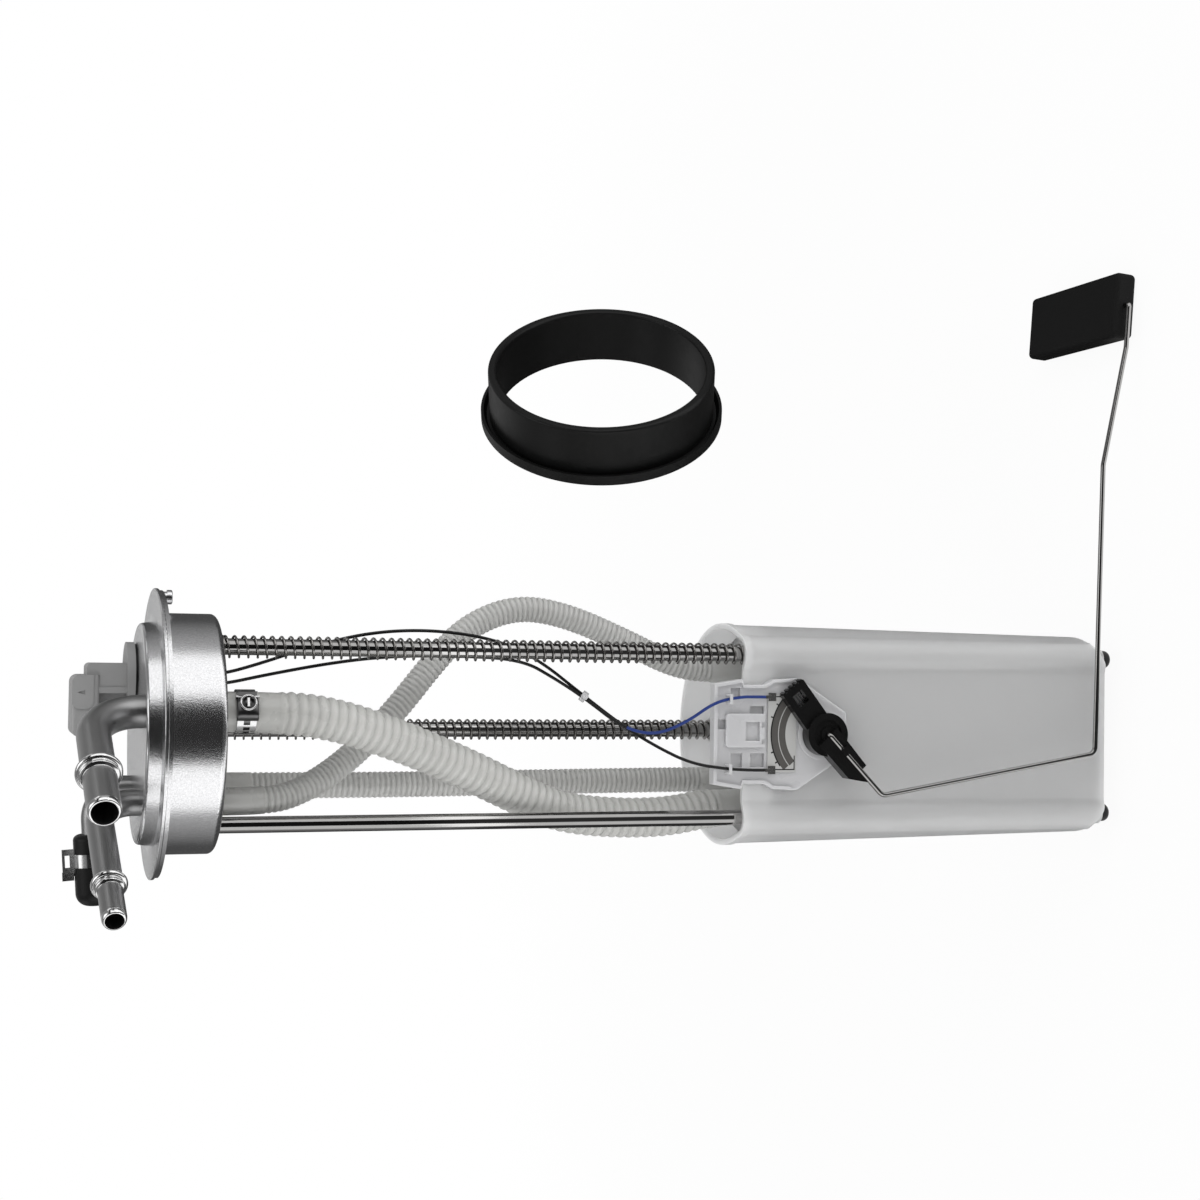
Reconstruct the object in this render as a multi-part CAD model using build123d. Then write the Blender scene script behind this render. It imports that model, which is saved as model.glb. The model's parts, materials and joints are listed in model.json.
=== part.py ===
from build123d import *
import math
import os

# Fuel pump module, standing as it does in the tank.
# +Z is up, the origin is the centre of the flange's under face, and the sender faces -Y.
# All sizes are in millimetres.

# Tank cover
flange_d = 120.0
cover_sheet = 1.6
plateau_r = 45.3
plateau_height = 5.7
groove_width = 2.2
groove_depth = 0.6

# Can under the flange
can_d = 99.6
can_depth = 22.2
can_wall = 1.6
can_corner = 2.5
lip_inset = 0.8
peg_place = (56.4, 0.0)
peg_d = 4.6
peg_head_d = 6.0
peg_length = 4.4
peg_clearance = 0.3

# Guide rods on a circle inside the can: one at the back and two at the front
rod_d = 6.8
rod_pitch_inset = 7.9
rod_angles = {"upper": -30.0, "lower": 210.0, "rear": 90.0}
rod_tail = 8.0
clip_thickness = 1.2
clip_d = 10.4
spring_wire = 0.9
spring_gap = 0.2
spring_turns = 30

# Pipes through the cover, with the heights of their bends and ends over the plateau
seat_clearance = 0.05
pipe_lip = 0.4
bead_width = 3.0
bead_round = 1.2
shoulder_length = 1.6
feed_d = 12.7
feed_wall = 0.9
feed_body_d = 13.3
feed_place = (10.0, -31.0)
feed_rise = 20.6
feed_end = (-24.6, -94.0, 18.7)
feed_bend = 19.0
feed_bead_back = 27.0
feed_bead_d = 17.8
feed_shoulder_d = 15.2
return_d = 9.525
return_wall = 0.8
return_body_d = 10.8
return_place = (-27.2, -15.0)
return_rise = 16.1
return_end = (-65.5, -81.5, 13.4)
return_bend = 14.0
return_bead_back = 22.3
return_bead_d = 14.0
return_shoulder_d = 11.4
vent_place = (-23.5, 23.0)
vent_rise = 16.1
vent_end = (-69.8, 23.0, 12.9)
vent_bend = 13.0
feed_nipple = 14.0
small_nipple = 9.0
port_cap_d = 16.8
port_cap_length = 30.0
port_cap_wall = 1.6
port_cap_round = 5.4
port_cap_lip = 2.4
cap_clip_width = 5.5
cap_clip_thickness = 0.8
cap_clip_ear = 4.8
cap_clip_span = 10.1
cap_clip_window = (2.6, 5.1)
cap_clip_lug = 3.6
cap_clip_neck = 1.0
cap_clip_place = 10.6

# Connector on the plateau
connector_place = (22.6, 12.0)
connector_foot_d = 30.0
connector_foot_height = 3.3
connector_neck_d = 18.0
gasket_thickness = 0.8
block_size = (12.3, 22.0, 16.0)
block_round = 1.9
ledge_width = 2.5
ledge_proud = 0.6
web_size = (7.8, 11.0)
socket_length = 25.3
socket_back = 1.3
socket_width = 25.0
socket_lift = 11.0
socket_height = 10.9
socket_wall = 1.5
socket_round = 3.2
socket_depth = 18.0
cheek_size = (14.0, 8.6)
cheek_proud = 0.6
notch_size = (2.0, 3.0)
notch_place = (7.2, 5.2)
pin_width = 1.2
pin_pitch = 5.5
pin_count = 4
pin_tail = 6.0

# Grommet in the floor of the can
grommet_place = (22.4, 8.0)
grommet_d = 12.0
grommet_bore = 8.4
grommet_flange_d = 15.0
grommet_flange = 1.5

# Reservoir
reservoir_inset = 0.1
reservoir_draft = 2.7
reservoir_height = 185.4
reservoir_rim_z = -250.2
reservoir_wall = 2.0
reservoir_floor = 2.2
reservoir_round = 9.0
front_y = -26.8
lobe_r = 8.5
lobe_draft = 0.6
lobe_blend = 6.0
rim_band_height = 3.0
rim_band_proud = 0.6
foot_boss_r = 5.2
foot_boss_height = 3.6
foot_d = 8.4
foot_height = 5.2
inlet_slot_r = 2.2
inlet_slot_circle = 8.0
inlet_slot_count = 6
valve_stem_d = 4.0
valve_cap_d = 22.0
valve_knob_d = 5.6

# Cover of the reservoir, with its bushes and hose stubs
lid_depth = 14.8
lid_thickness = 3.0
lid_clearance = 0.3
boss_length = 16.0
boss_wall = 1.2
bush_wall = 1.55
bush_flange = 2.0
running_clearance = 0.05
stub_height = 9.0

# Hoses
feed_hose_d = 17.6
small_hose_d = 11.4
clamp_width = 8.6
clamp_thickness = 0.8
clamp_gap = 4.2
clamp_housing = (8.0, 5.2, 7.6)
clamp_turn = 20.0
screw_head_d = 6.0
screw_head_height = 1.8
screw_slot = 1.0

# Wires
wire_d = 1.4
tie_width = 2.2
tie_bore = 4.4
tie_wall = 0.8
tie_point_number = 10

# Pickup, strainer and jet pump
pickup_collar = 3.0
strainer_size = (26.0, 16.0, 6.0)
jet_body_d = 16.0
jet_foot_d = 11.0
jet_body_height = 28.0
jet_throat_d = 7.0

# Level sender, with places in X and Z measured from the pivot
pivot_x = 1.2
pivot_drop = 36.2
bracket_thickness = 3.8
bracket_top = 51.8
bracket_steps = ((51.8, 22.1), (38.8, 24.1), (38.0, 21.7), (27.6, 21.8), (23.4, 24.2), (11.6, 24.8))
bracket_chin = -12.4
bracket_edge = 1.5
bracket_edge_height = 1.4
bracket_ring = 1.8
bracket_pocket_depth = 2.0
bracket_pockets = (
    ((15.9, 38.9), (20.2, 43.7)),
    ((7.9, 27.6), (12.3, 34.5)),
    ((2.1, 45.8), (6.4, 49.6)),
    ((-14.7, 37.7), (-8.5, 43.3)),
    ((-14.7, 27.2), (-8.5, 34.2)),
)
panel_low = (-5.7, 28.2)
panel_high = (9.0, 46.4)
panel_height = 2.2
panel_round = 1.5
panel_window = ((-2.9, 30.3), (5.4, 37.2))
panel_slots = (((2.9, 28.2), (5.4, 29.6)), ((-4.4, 28.2), (-2.2, 29.6)))
wire_guides = ((-15.2, 45.4), (15.4, 45.4))
guide_width = 1.2
guide_wall = 0.8
guide_room = (2.7, 4.6)
hook_reach = 9.0
hook_thickness = 1.8
card_right = -16.9
card_left = 17.6
card_high = 26.1
card_low = 12.4
card_thickness = 0.8
terminal_size = 3.6
terminal_thickness = 0.5
rotor_gap = 0.5
hub_r = 9.6
hub_depth = 6.4
hub_recess_r = 6.6
hub_recess = 1.0
shaft_r = 3.0
arm_angle = 38.0
arm_reach = 26.2
arm_width = 12.0
arm_depth = 4.2
arm_window = (6.0, 5.6)
tooth_count = 5
tooth_height = 0.8
clip_arm_depth = 4.4
clip_wall = 1.6
clip_cheek = ((-6.8, 0.0), (-6.8, 20.4), (-1.4, 27.8))
clip_strip = (4.6, 22.0)
clip_strip_taper = 1.2
clip_hook = (10.0, 3.6)
clip_hook_thickness = 1.0
contact_width = 1.0
contact_pitch = 1.3
contact_count = 4

# Float and its wire, with places in X and Z measured from the pivot
float_wire_d = 2.3
float_wire_stand = 1.7
float_wire_knees = ((-26.9, -26.0), (-8.6, -135.4), (125.8, -138.8), (181.8, -150.8))
float_wire_bend = 4.0
float_wire_tight_bend = 1.2
float_size = (31.0, 76.0, 11.0)
float_gap = 3.0
float_tilt = 4.0
float_round = 2.5
float_wire_tail = 3.0
float_place = (202.3, -152.2)
push_nut_d = 7.0
push_nut_thickness = 0.8

# Seal ring, lying apart
seal_rim_centre = (172.7, 54.4, -209.1)
seal_axis = (0.753, -0.620, 0.221)
seal_bore_clearance = 0.15
seal_wall = 4.4
seal_height = 28.0
seal_lip_reach = 4.2
seal_lip_thickness = 3.2
seal_lip_rise = 2.4

# What follows from the driving sizes
flange_thickness = 2 * cover_sheet
plateau_z = flange_thickness + plateau_height
can_r = can_d / 2
can_floor_z = -can_depth
foot_top_z = plateau_z + gasket_thickness + connector_foot_height
block_top_z = foot_top_z + block_size[2]
socket_low_z = foot_top_z + socket_lift
socket_top_z = socket_low_z + socket_height
socket_back_x = connector_place[0] + socket_back
socket_mouth_x = socket_back_x - socket_length
socket_front_y = connector_place[1] - socket_width / 2
clamp_top_z = can_floor_z - clamp_gap
rod_pitch_r = can_r - rod_pitch_inset
reservoir_r = can_r - reservoir_inset
reservoir_r_low = reservoir_r - reservoir_draft
lobe_r_low = lobe_r - lobe_draft
reservoir_low_z = reservoir_rim_z - reservoir_height
lid_z = reservoir_rim_z - lid_depth
bush_top_z = lid_z + bush_flange
boss_low_z = lid_z - boss_length
rod_low_z = boss_low_z - clip_thickness - rod_tail
floor_z = reservoir_low_z + reservoir_floor
bush_r = rod_d / 2 + bush_wall
boss_r = bush_r + boss_wall
pivot_z = reservoir_rim_z - pivot_drop
bracket_front_y = front_y - bracket_thickness
bracket_half = max(half for height, half in bracket_steps)
card_top_z = pivot_z + card_high
card_front_y = bracket_front_y - card_thickness
rotor_back_y = card_front_y - rotor_gap
rotor_front_y = rotor_back_y - hub_depth
float_wire_y = rotor_front_y - float_wire_stand
first_knee = float_wire_knees[0]
clip_arm_angle = math.degrees(math.atan2(first_knee[1], first_knee[0]))
float_front_y = float_wire_y + float_gap
float_x = pivot_x + float_place[0]
float_z = pivot_z + float_place[1]
pin_first_y = connector_place[1] - pin_pitch * (pin_count - 1) / 2
pin_rows = [pin_first_y + pin_pitch * i for i in range(pin_count)]
pin_foot_z = plateau_z - pin_tail
snug = 2 * seat_clearance
near = 0.01

# Routes of the hoses and wires, chosen by hand from the cover down
feed_hose_end = (-33.6, 3.2)
return_hose_end = (28.6, 12.6)
vent_hose_end = (-22.4, 24.4)
feed_route = [
    (feed_place[0], feed_place[1], can_floor_z),
    (feed_place[0], feed_place[1], -47.0),
    (7.0, -28.2, -68.5),
    (-1.2, -22.8, -94.5),
    (-13.0, -15.6, -124.5),
    (-24.5, -9.0, -149.5),
    (-34.0, -4.8, -171.0),
    (-37.4, -2.0, -197.0),
    (-37.6, 0.6, -225.0),
    (-33.6, 3.2, -247.0),
    (feed_hose_end[0], feed_hose_end[1], lid_z),
]
return_route = [
    (return_place[0], return_place[1], can_floor_z),
    (return_place[0], return_place[1], -40.0),
    (-25.4, -10.5, -54.0),
    (-16.5, -2.5, -72.0),
    (-2.5, 4.0, -89.5),
    (13.5, 7.8, -104.5),
    (31.5, 10.0, -119.0),
    (47.0, 11.6, -134.0),
    (56.0, 12.0, -156.0),
    (53.0, 12.2, -179.0),
    (42.0, 12.4, -207.0),
    (30.6, 12.6, -232.0),
    (return_hose_end[0], return_hose_end[1], -249.0),
    (return_hose_end[0], return_hose_end[1], lid_z),
]
vent_route = [
    (vent_place[0], vent_place[1], can_floor_z),
    (vent_place[0], vent_place[1], -52.0),
    (-23.7, 24.4, -110.0),
    (-23.0, 25.2, -180.0),
    (vent_hose_end[0], vent_hose_end[1], -240.0),
    (vent_hose_end[0], vent_hose_end[1], lid_z),
]
black_route = [
    (connector_place[0], pin_rows[1], pin_foot_z),
    (connector_place[0], pin_rows[1], -3.0),
    (24.4, 8.6, -14.0),
    (24.5, 8.2, -26.0),
    (29.0, -1.0, -40.0),
    (36.0, -12.6, -58.0),
    (43.2, -15.8, -84.0),
    (44.8, -16.0, -112.0),
    (41.2, -13.2, -140.0),
    (33.0, -12.0, -159.5),
    (17.2, -14.4, -180.0),
    (4.0, -17.4, -197.5),
    (-4.6, -22.6, -211.0),
    (-11.6, -31.4, -224.0),
    (-13.9, -33.6, -240.0),
    (-14.6, -32.6, -252.0),
    (-14.6, -32.6, card_top_z + terminal_size / 2),
]
blue_route = [
    (connector_place[0], pin_rows[2], pin_foot_z),
    (connector_place[0], pin_rows[2], -3.0),
    (20.6, 9.4, -14.0),
    (20.2, 7.8, -26.0),
    (24.6, -0.6, -43.5),
    (30.0, -9.8, -69.0),
    (33.2, -12.6, -93.0),
    (33.8, -12.9, -123.0),
    (32.6, -12.6, -152.0),
    (24.4, -14.2, -167.0),
    (16.4, -16.4, -179.5),
    (3.6, -20.0, -196.0),
    (0.2, -24.0, -210.0),
    (6.6, -31.0, -222.5),
    (15.4, -34.0, -234.0),
    (17.6, -33.2, -247.0),
    (17.6, -32.6, -252.5),
    (17.6, -32.6, card_top_z + terminal_size / 2),
]


def rod_place(name):
    """Where a guide rod stands, seen from above."""
    angle = math.radians(rod_angles[name])
    return rod_pitch_r * math.cos(angle), rod_pitch_r * math.sin(angle)


def upright(place, radius, low_z, high_z):
    """A round bar along Z."""
    height = high_z - low_z
    return Pos(place[0], place[1], low_z + height / 2) * Cylinder(radius, height)


def ring(place, outer_r, inner_r, low_z, high_z):
    """A round sleeve along Z."""
    return upright(place, outer_r, low_z, high_z) - upright(place, inner_r, low_z, high_z)


def block(low, high):
    """A box from its lowest to its highest corner."""
    size = [b - a for a, b in zip(low, high)]
    middle = [(a + b) / 2 for a, b in zip(low, high)]
    return Pos(*middle) * Box(*size)


def along_y(x, z, radius, low_y, high_y):
    """A round bar along Y."""
    depth = high_y - low_y
    return Pos(x, low_y + depth / 2, z) * Rot(90, 0, 0) * Cylinder(radius, depth)


def unit(vector):
    """A vector of length one."""
    return Vector(*vector).normalized()


def tube(points, radii, outer_d, inner_d=0.0):
    """A tube, or a solid bar, along straight runs with round bends."""
    path = FilletPolyline(*points, radius=radii)
    section = Circle(outer_d / 2)
    if inner_d:
        section -= Circle(inner_d / 2)
    start = Plane(origin=path @ 0, z_dir=path % 0)
    return sweep(start * section, path=path)


def soft_radii(points):
    """The largest bends that the runs of a hose or wire allow."""
    share = 0.45
    radii = []
    for before, here, after in zip(points, points[1:], points[2:]):
        run_in = Vector(*here) - Vector(*before)
        run_out = Vector(*after) - Vector(*here)
        turn = math.radians(run_in.get_angle(run_out))
        shorter = min(run_in.length, run_out.length)
        radii.append(share * shorter / math.tan(turn / 2))
    return radii


def soft_tube(name, points, outer_d, inner_d=0.0):
    """A hose or wire, with its bends and volume printed as a test of the sweep."""
    radii = soft_radii(points)
    body = tube(points, radii, outer_d, inner_d)
    path = FilletPolyline(*points, radius=radii)
    expected = math.pi / 4 * (outer_d**2 - inner_d**2) * path.length
    print(name, "length", round(path.length), "tightest bend", round(min(radii), 1))
    print(name, "volume over section times length", round(body.volume / expected, 4))
    return body


def cover_plate():
    """The pressed flange with its plateau, a groove round it and holes for what passes."""
    half = flange_d / 2
    inner_r = plateau_r - cover_sheet
    groove_r = plateau_r + groove_width
    under_z = plateau_z - cover_sheet
    outline = Polyline(
        (0, plateau_z),
        (plateau_r, plateau_z),
        (plateau_r + groove_width / 2, flange_thickness - groove_depth),
        (groove_r + groove_width, flange_thickness),
        (half, flange_thickness),
        (half, cover_sheet),
        (inner_r, cover_sheet),
        (inner_r, under_z),
        (0, under_z),
        close=True,
    )
    section = make_face(outline)
    shoulder = section.vertices().sort_by(Axis.X).filter_by(
        lambda v: abs(v.X - plateau_r) < near and abs(v.Y - plateau_z) < near
    )
    section = fillet(shoulder, cover_sheet)
    rim = section.vertices().filter_by(lambda v: abs(v.X - half) < near)
    section = fillet(rim, cover_sheet / 4)
    plate = revolve(Plane.XZ * section, Axis.Z)
    for place, diameter in (
        (feed_place, feed_body_d),
        (return_place, return_body_d),
        (vent_place, return_d),
    ):
        plate -= upright(place, diameter / 2 + seat_clearance, 0, 2 * plateau_z)
    neck_r = connector_neck_d / 2 + seat_clearance
    return plate - upright(connector_place, neck_r, 0, 2 * plateau_z)


def can():
    """The drawn cup whose lip lies under the flange."""
    lip_r = flange_d / 2 - lip_inset
    inner_r = can_r - can_wall
    inner_floor = can_floor_z + can_wall
    outline = Polyline(
        (0, can_floor_z),
        (can_r, can_floor_z),
        (can_r, 0),
        (lip_r, 0),
        (lip_r, cover_sheet),
        (inner_r, cover_sheet),
        (inner_r, inner_floor),
        (0, inner_floor),
        close=True,
    )
    section = make_face(outline)
    corner = section.vertices().filter_by(
        lambda v: abs(v.X - can_r) < near and abs(v.Y - can_floor_z) < near
    )
    section = fillet(corner, can_corner)
    inside = section.vertices().filter_by(
        lambda v: abs(v.X - inner_r) < near and abs(v.Y - inner_floor) < near
    )
    section = fillet(inside, can_corner - can_wall)
    cup = revolve(Plane.XZ * section, Axis.Z)
    low, high = can_floor_z - can_wall, can_floor_z + 2 * can_wall
    for place, diameter in (
        (feed_place, feed_body_d),
        (return_place, return_body_d),
        (vent_place, return_d),
        (grommet_place, grommet_d),
    ):
        cup -= upright(place, diameter / 2 + seat_clearance, low, high)
    for name in rod_angles:
        cup -= upright(rod_place(name), rod_d / 2 + seat_clearance, low, high)
    peg_room_r = peg_head_d / 2 + peg_clearance
    return cup - upright(peg_place, peg_room_r, -cover_sheet, cover_sheet)


def index_peg():
    """The rivet that keys the flange to the tank, seated under the upper sheet."""
    neck = upright(peg_place, peg_d / 2, -peg_length, cover_sheet)
    head_height = peg_length / 2
    head = upright(peg_place, peg_head_d / 2, -peg_length, head_height - peg_length)
    return neck + fillet(head.edges().sort_by(Axis.Z)[0], head_height / 4)


def pipe_end(outer_d, bead_d, shoulder_d, bead_back):
    """A pipe's end form: its mouth at the origin, and its shoulder and bead below."""
    bead_high = bead_width / 2 - bead_back
    bead_low = bead_high - bead_width
    shoulder_high = bead_high + shoulder_length
    outline = Polyline(
        (0, 0),
        (outer_d / 2, 0),
        (outer_d / 2, shoulder_high),
        (shoulder_d / 2, shoulder_high),
        (shoulder_d / 2, bead_high),
        (bead_d / 2, bead_high),
        (bead_d / 2, bead_low),
        (0, bead_low),
        close=True,
    )
    section = make_face(outline)
    bead = section.vertices().filter_by(lambda v: abs(v.X - bead_d / 2) < near)
    section = fillet(bead, bead_round)
    shoulder = section.vertices().filter_by(
        lambda v: abs(v.X - shoulder_d / 2) < near and abs(v.Y - shoulder_high) < near
    )
    section = fillet(shoulder, shoulder_length / 3)
    lip = section.vertices().filter_by(
        lambda v: abs(v.X - outer_d / 2) < near and abs(v.Y) < near
    )
    section = fillet(lip, pipe_lip)
    return revolve(Plane.XZ * section, Axis.Z)


def bent_pipe(place, nipple, rise, end, bend, outer_d, wall, body_d, bead=None):
    """A pipe through the can and the cover, bent over, with an end form where it has a bead."""
    foot = (place[0], place[1], can_floor_z - nipple)
    start = (place[0], place[1], can_floor_z)
    knee = (place[0], place[1], plateau_z + rise)
    mouth = (end[0], end[1], plateau_z + end[2])
    pipe = upright(place, outer_d / 2, foot[2], can_floor_z)
    if bead:
        back = unit(Vector(*knee) - Vector(*mouth))
        neck = Vector(*mouth) + back * bead[2]
        pipe += tube([start, knee, neck], [bend], body_d)
        seat = Plane(origin=mouth, z_dir=-back)
        pipe += seat.location * pipe_end(outer_d, *bead)
    else:
        pipe += tube([start, knee, mouth], [bend], body_d)
    return pipe - tube([foot, knee, mouth], [bend], outer_d - 2 * wall)


def feed_pipe():
    """The half inch pipe that the engine draws from."""
    return bent_pipe(
        feed_place,
        feed_nipple,
        feed_rise,
        feed_end,
        feed_bend,
        feed_d,
        feed_wall,
        feed_body_d,
        (feed_bead_d, feed_shoulder_d, feed_bead_back),
    )


def return_pipe():
    """The three eighths pipe that brings fuel back."""
    return bent_pipe(
        return_place,
        small_nipple,
        return_rise,
        return_end,
        return_bend,
        return_d,
        return_wall,
        return_body_d,
        (return_bead_d, return_shoulder_d, return_bead_back),
    )


def vent_pipe():
    """The third pipe, behind the return pipe."""
    return bent_pipe(
        vent_place, small_nipple, vent_rise, vent_end, vent_bend, return_d, return_wall, return_d
    )


def vent_direction():
    """The way the vent pipe's open end points."""
    run = (vent_end[0] - vent_place[0], vent_end[1] - vent_place[1], vent_end[2] - vent_rise)
    return unit(run)


def cap_plane():
    """The plane at the mouth of the rubber cap, looking along the vent pipe."""
    way = vent_direction()
    mouth = Vector(vent_end[0], vent_end[1], plateau_z + vent_end[2])
    back = port_cap_length - 2 * port_cap_wall
    return Plane(origin=mouth - way * back, z_dir=way)


def port_cap():
    """The rubber cap over the end of the vent pipe."""
    height = port_cap_length
    cap = Pos(0, 0, height / 2) * Cylinder(port_cap_d / 2, height)
    cap = fillet(cap.edges().sort_by(Axis.Z)[-1], port_cap_round)
    cap = fillet(cap.edges().sort_by(Axis.Z)[0], port_cap_lip)
    depth = height - 2 * port_cap_wall
    bore = Pos(0, 0, depth / 2) * Cylinder(return_d / 2 + seat_clearance, depth)
    return cap_plane().location * (cap - bore)


def cap_clip():
    """The spring band round the cap, with a windowed ear and a small lug below it."""
    inner_r = port_cap_d / 2 + seat_clearance
    outer_r = inner_r + cap_clip_thickness
    band = Cylinder(outer_r, cap_clip_width) - Cylinder(inner_r, cap_clip_width)
    ear_middle = inner_r + cap_clip_ear / 2
    ear = Box(cap_clip_ear, cap_clip_thickness, cap_clip_span)
    ear -= Box(cap_clip_window[0], 2 * cap_clip_thickness, cap_clip_window[1])
    band += Pos(ear_middle, -cap_clip_width / 2, 0) * ear
    lug_place = (cap_clip_span + cap_clip_lug) / 2
    neck_length = lug_place + cap_clip_width / 2
    neck = Box(2 * cap_clip_neck, cap_clip_thickness, neck_length)
    neck_middle = (neck_length - cap_clip_width) / 2
    band += Pos(inner_r + cap_clip_neck / 2, cap_clip_width / 2, neck_middle) * neck
    lug = Box(cap_clip_ear, cap_clip_thickness, cap_clip_lug)
    band += Pos(ear_middle, cap_clip_width / 2, lug_place) * lug
    seat = cap_plane()
    seat = Plane(origin=seat.origin, x_dir=(0, 0, 1), z_dir=seat.z_dir)
    return seat.location * Pos(0, 0, cap_clip_place) * band


def connector_pins():
    """Terminals that stand in the neck and turn into the socket."""
    turn_z = (socket_low_z + socket_top_z + pin_width) / 2
    tip_x = socket_mouth_x + pin_tail
    pins = []
    for y in pin_rows:
        stem = block(
            (connector_place[0] - pin_width / 2, y - pin_width / 2, pin_foot_z),
            (connector_place[0] + pin_width / 2, y + pin_width / 2, turn_z),
        )
        blade = block(
            (tip_x, y - pin_width / 2, turn_z - pin_width),
            (connector_place[0] + pin_width / 2, y + pin_width / 2, turn_z),
        )
        pins.append(stem + blade)
    return pins


def connector_socket():
    """The flat shroud that opens towards -X, with a raised cheek on the side that shows."""
    back_y = socket_front_y + socket_width
    low = (socket_mouth_x, socket_front_y, socket_low_z)
    high = (socket_back_x, back_y, socket_top_z)
    shroud = block(low, high)
    shroud = fillet(shroud.edges().filter_by(Axis.X), socket_wall)
    side = block(
        (socket_mouth_x, 2 * socket_front_y - back_y, 0),
        (socket_back_x, 2 * back_y, socket_top_z),
    )
    side = fillet(side.edges().filter_by(Axis.Y).group_by(Axis.Z)[-1], socket_round)
    cheek_low_x = socket_back_x - cheek_size[0]
    cheek_y = socket_front_y - cheek_proud
    cheek = block(
        (cheek_low_x, cheek_y, socket_top_z - cheek_size[1]),
        (socket_back_x, socket_front_y + socket_wall, socket_top_z),
    )
    cheek = fillet(cheek.edges().filter_by(Axis.Y).group_by(Axis.X)[0], socket_round)
    notch_x = socket_back_x - notch_place[0]
    notch_z = socket_top_z - notch_place[1]
    notch = [
        (notch_x - notch_size[0] / 2, notch_z),
        (notch_x + notch_size[0] / 2, notch_z),
        (notch_x, notch_z + notch_size[1]),
    ]
    body = (shroud + cheek) & side
    body -= slab(notch, socket_front_y, cheek_y - cheek_proud)
    hollow = block(
        (socket_mouth_x, socket_front_y + socket_wall, socket_low_z + socket_wall),
        (socket_mouth_x + socket_depth, back_y - socket_wall, socket_top_z - socket_wall),
    )
    return body - fillet(hollow.edges().filter_by(Axis.X), socket_wall / 2)


def connector():
    """The grey moulding: a round foot, a block with a ledge, a web and the socket."""
    x, y = connector_place
    foot_low_z = plateau_z + gasket_thickness
    body = upright((x, y), connector_foot_d / 2, foot_low_z, foot_top_z)
    body += upright((x, y), connector_neck_d / 2, plateau_z - cover_sheet, foot_top_z)
    half_x, half_y = block_size[0] / 2, block_size[1] / 2
    rest = block((x - half_x, y - half_y, foot_top_z), (x + half_x, y + half_y, block_top_z))
    body += fillet(rest.edges().filter_by(Axis.Y).group_by(Axis.Z)[-1][-1], block_round)
    body += block(
        (x - half_x, y - half_y - ledge_proud, foot_top_z),
        (x - half_x + ledge_width, y, block_top_z - block_round),
    )
    body += block(
        (x - half_x - web_size[0], y - web_size[1] / 2, foot_top_z),
        (x, y + web_size[1] / 2, socket_low_z + socket_wall / 2),
    )
    body += connector_socket()
    for pin in connector_pins():
        body -= pin
    return body


def connector_gasket():
    """The soft washer under the connector's foot."""
    outer_r = connector_foot_d / 2 - gasket_thickness
    inner_r = connector_neck_d / 2 + seat_clearance
    return ring(connector_place, outer_r, inner_r, plateau_z, plateau_z + gasket_thickness)


def wire_grommet():
    """The rubber grommet that the sender wires pass through."""
    low = can_floor_z - grommet_flange
    inner_floor = can_floor_z + can_wall
    body = upright(grommet_place, grommet_d / 2, low, inner_floor + grommet_flange)
    body += upright(grommet_place, grommet_flange_d / 2, low, can_floor_z)
    body += upright(
        grommet_place, grommet_flange_d / 2, inner_floor, inner_floor + grommet_flange
    )
    return body - upright(grommet_place, grommet_bore / 2, 2 * can_floor_z, 0)


def guide_rod(name):
    """A bright rod with a shoulder inside the can and a groove for its clip."""
    place = rod_place(name)
    inner_floor = can_floor_z + can_wall
    rod = upright(place, rod_d / 2, rod_low_z, inner_floor)
    rod += upright(place, rod_d / 2 + can_wall / 2, inner_floor, inner_floor + 2 * can_wall)
    return chamfer(rod.edges().sort_by(Axis.Z)[0], clip_thickness / 2)


def rod_clips():
    """The push-on clips that stop the reservoir at the end of each rod."""
    return [
        ring(
            rod_place(name),
            clip_d / 2,
            rod_d / 2 + seat_clearance / 5,
            boss_low_z - clip_thickness,
            boss_low_z,
        )
        for name in rod_angles
    ]


def spring(name):
    """A coil spring between the can's floor and the bush."""
    wire_r = spring_wire / 2
    coil_r = rod_d / 2 + spring_gap + wire_r
    height = can_floor_z - bush_top_z - 2 * wire_r
    pitch = height / spring_turns
    helix = Helix(pitch=pitch, height=height, radius=coil_r)
    start = Plane(origin=helix @ 0, z_dir=helix % 0)
    coil = sweep(start * RegularPolygon(wire_r, 4), path=helix, is_frenet=True)
    x, y = rod_place(name)
    return Pos(x, y, bush_top_z + wire_r) * coil


def bucket_section(radius, front, lobe, blend):
    """Round at the back, flat in front, with a lobe round each guide rod."""
    section = Circle(radius)
    section -= Pos(0, front - radius) * Rectangle(2 * radius, 2 * radius)
    for name in rod_angles:
        x, y = rod_place(name)
        section += Pos(x, y) * Circle(lobe)
    corners = section.vertices().filter_by(lambda v: abs(v.Y - front) < near)
    return fillet(corners, blend)


def bucket_form(inset, low_z):
    """The reservoir's outside, or its inside where inset is the wall."""
    share = (low_z - reservoir_rim_z) / -reservoir_height
    low_r = reservoir_r + share * (reservoir_r_low - reservoir_r)
    low_lobe = lobe_r + share * (lobe_r_low - lobe_r)
    blend = lobe_blend + inset
    top = bucket_section(reservoir_r - inset, front_y + inset, lobe_r - inset, blend)
    low = bucket_section(low_r - inset, front_y + inset, low_lobe - inset, blend)
    form = loft([Pos(0, 0, low_z) * low, Pos(0, 0, reservoir_rim_z) * top], ruled=True)
    corner_r = rod_pitch_r + low_lobe - inset
    wide_r = corner_r + reservoir_draft
    profile = make_face(
        Polyline((0, low_z), (corner_r, low_z), (wide_r, reservoir_rim_z), (0, reservoir_rim_z), close=True)
    )
    corner = profile.vertices().sort_by_distance((corner_r, low_z))[0]
    profile = fillet(corner, reservoir_round - inset)
    return form & revolve(Plane.XZ * profile, Axis.Z)


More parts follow.
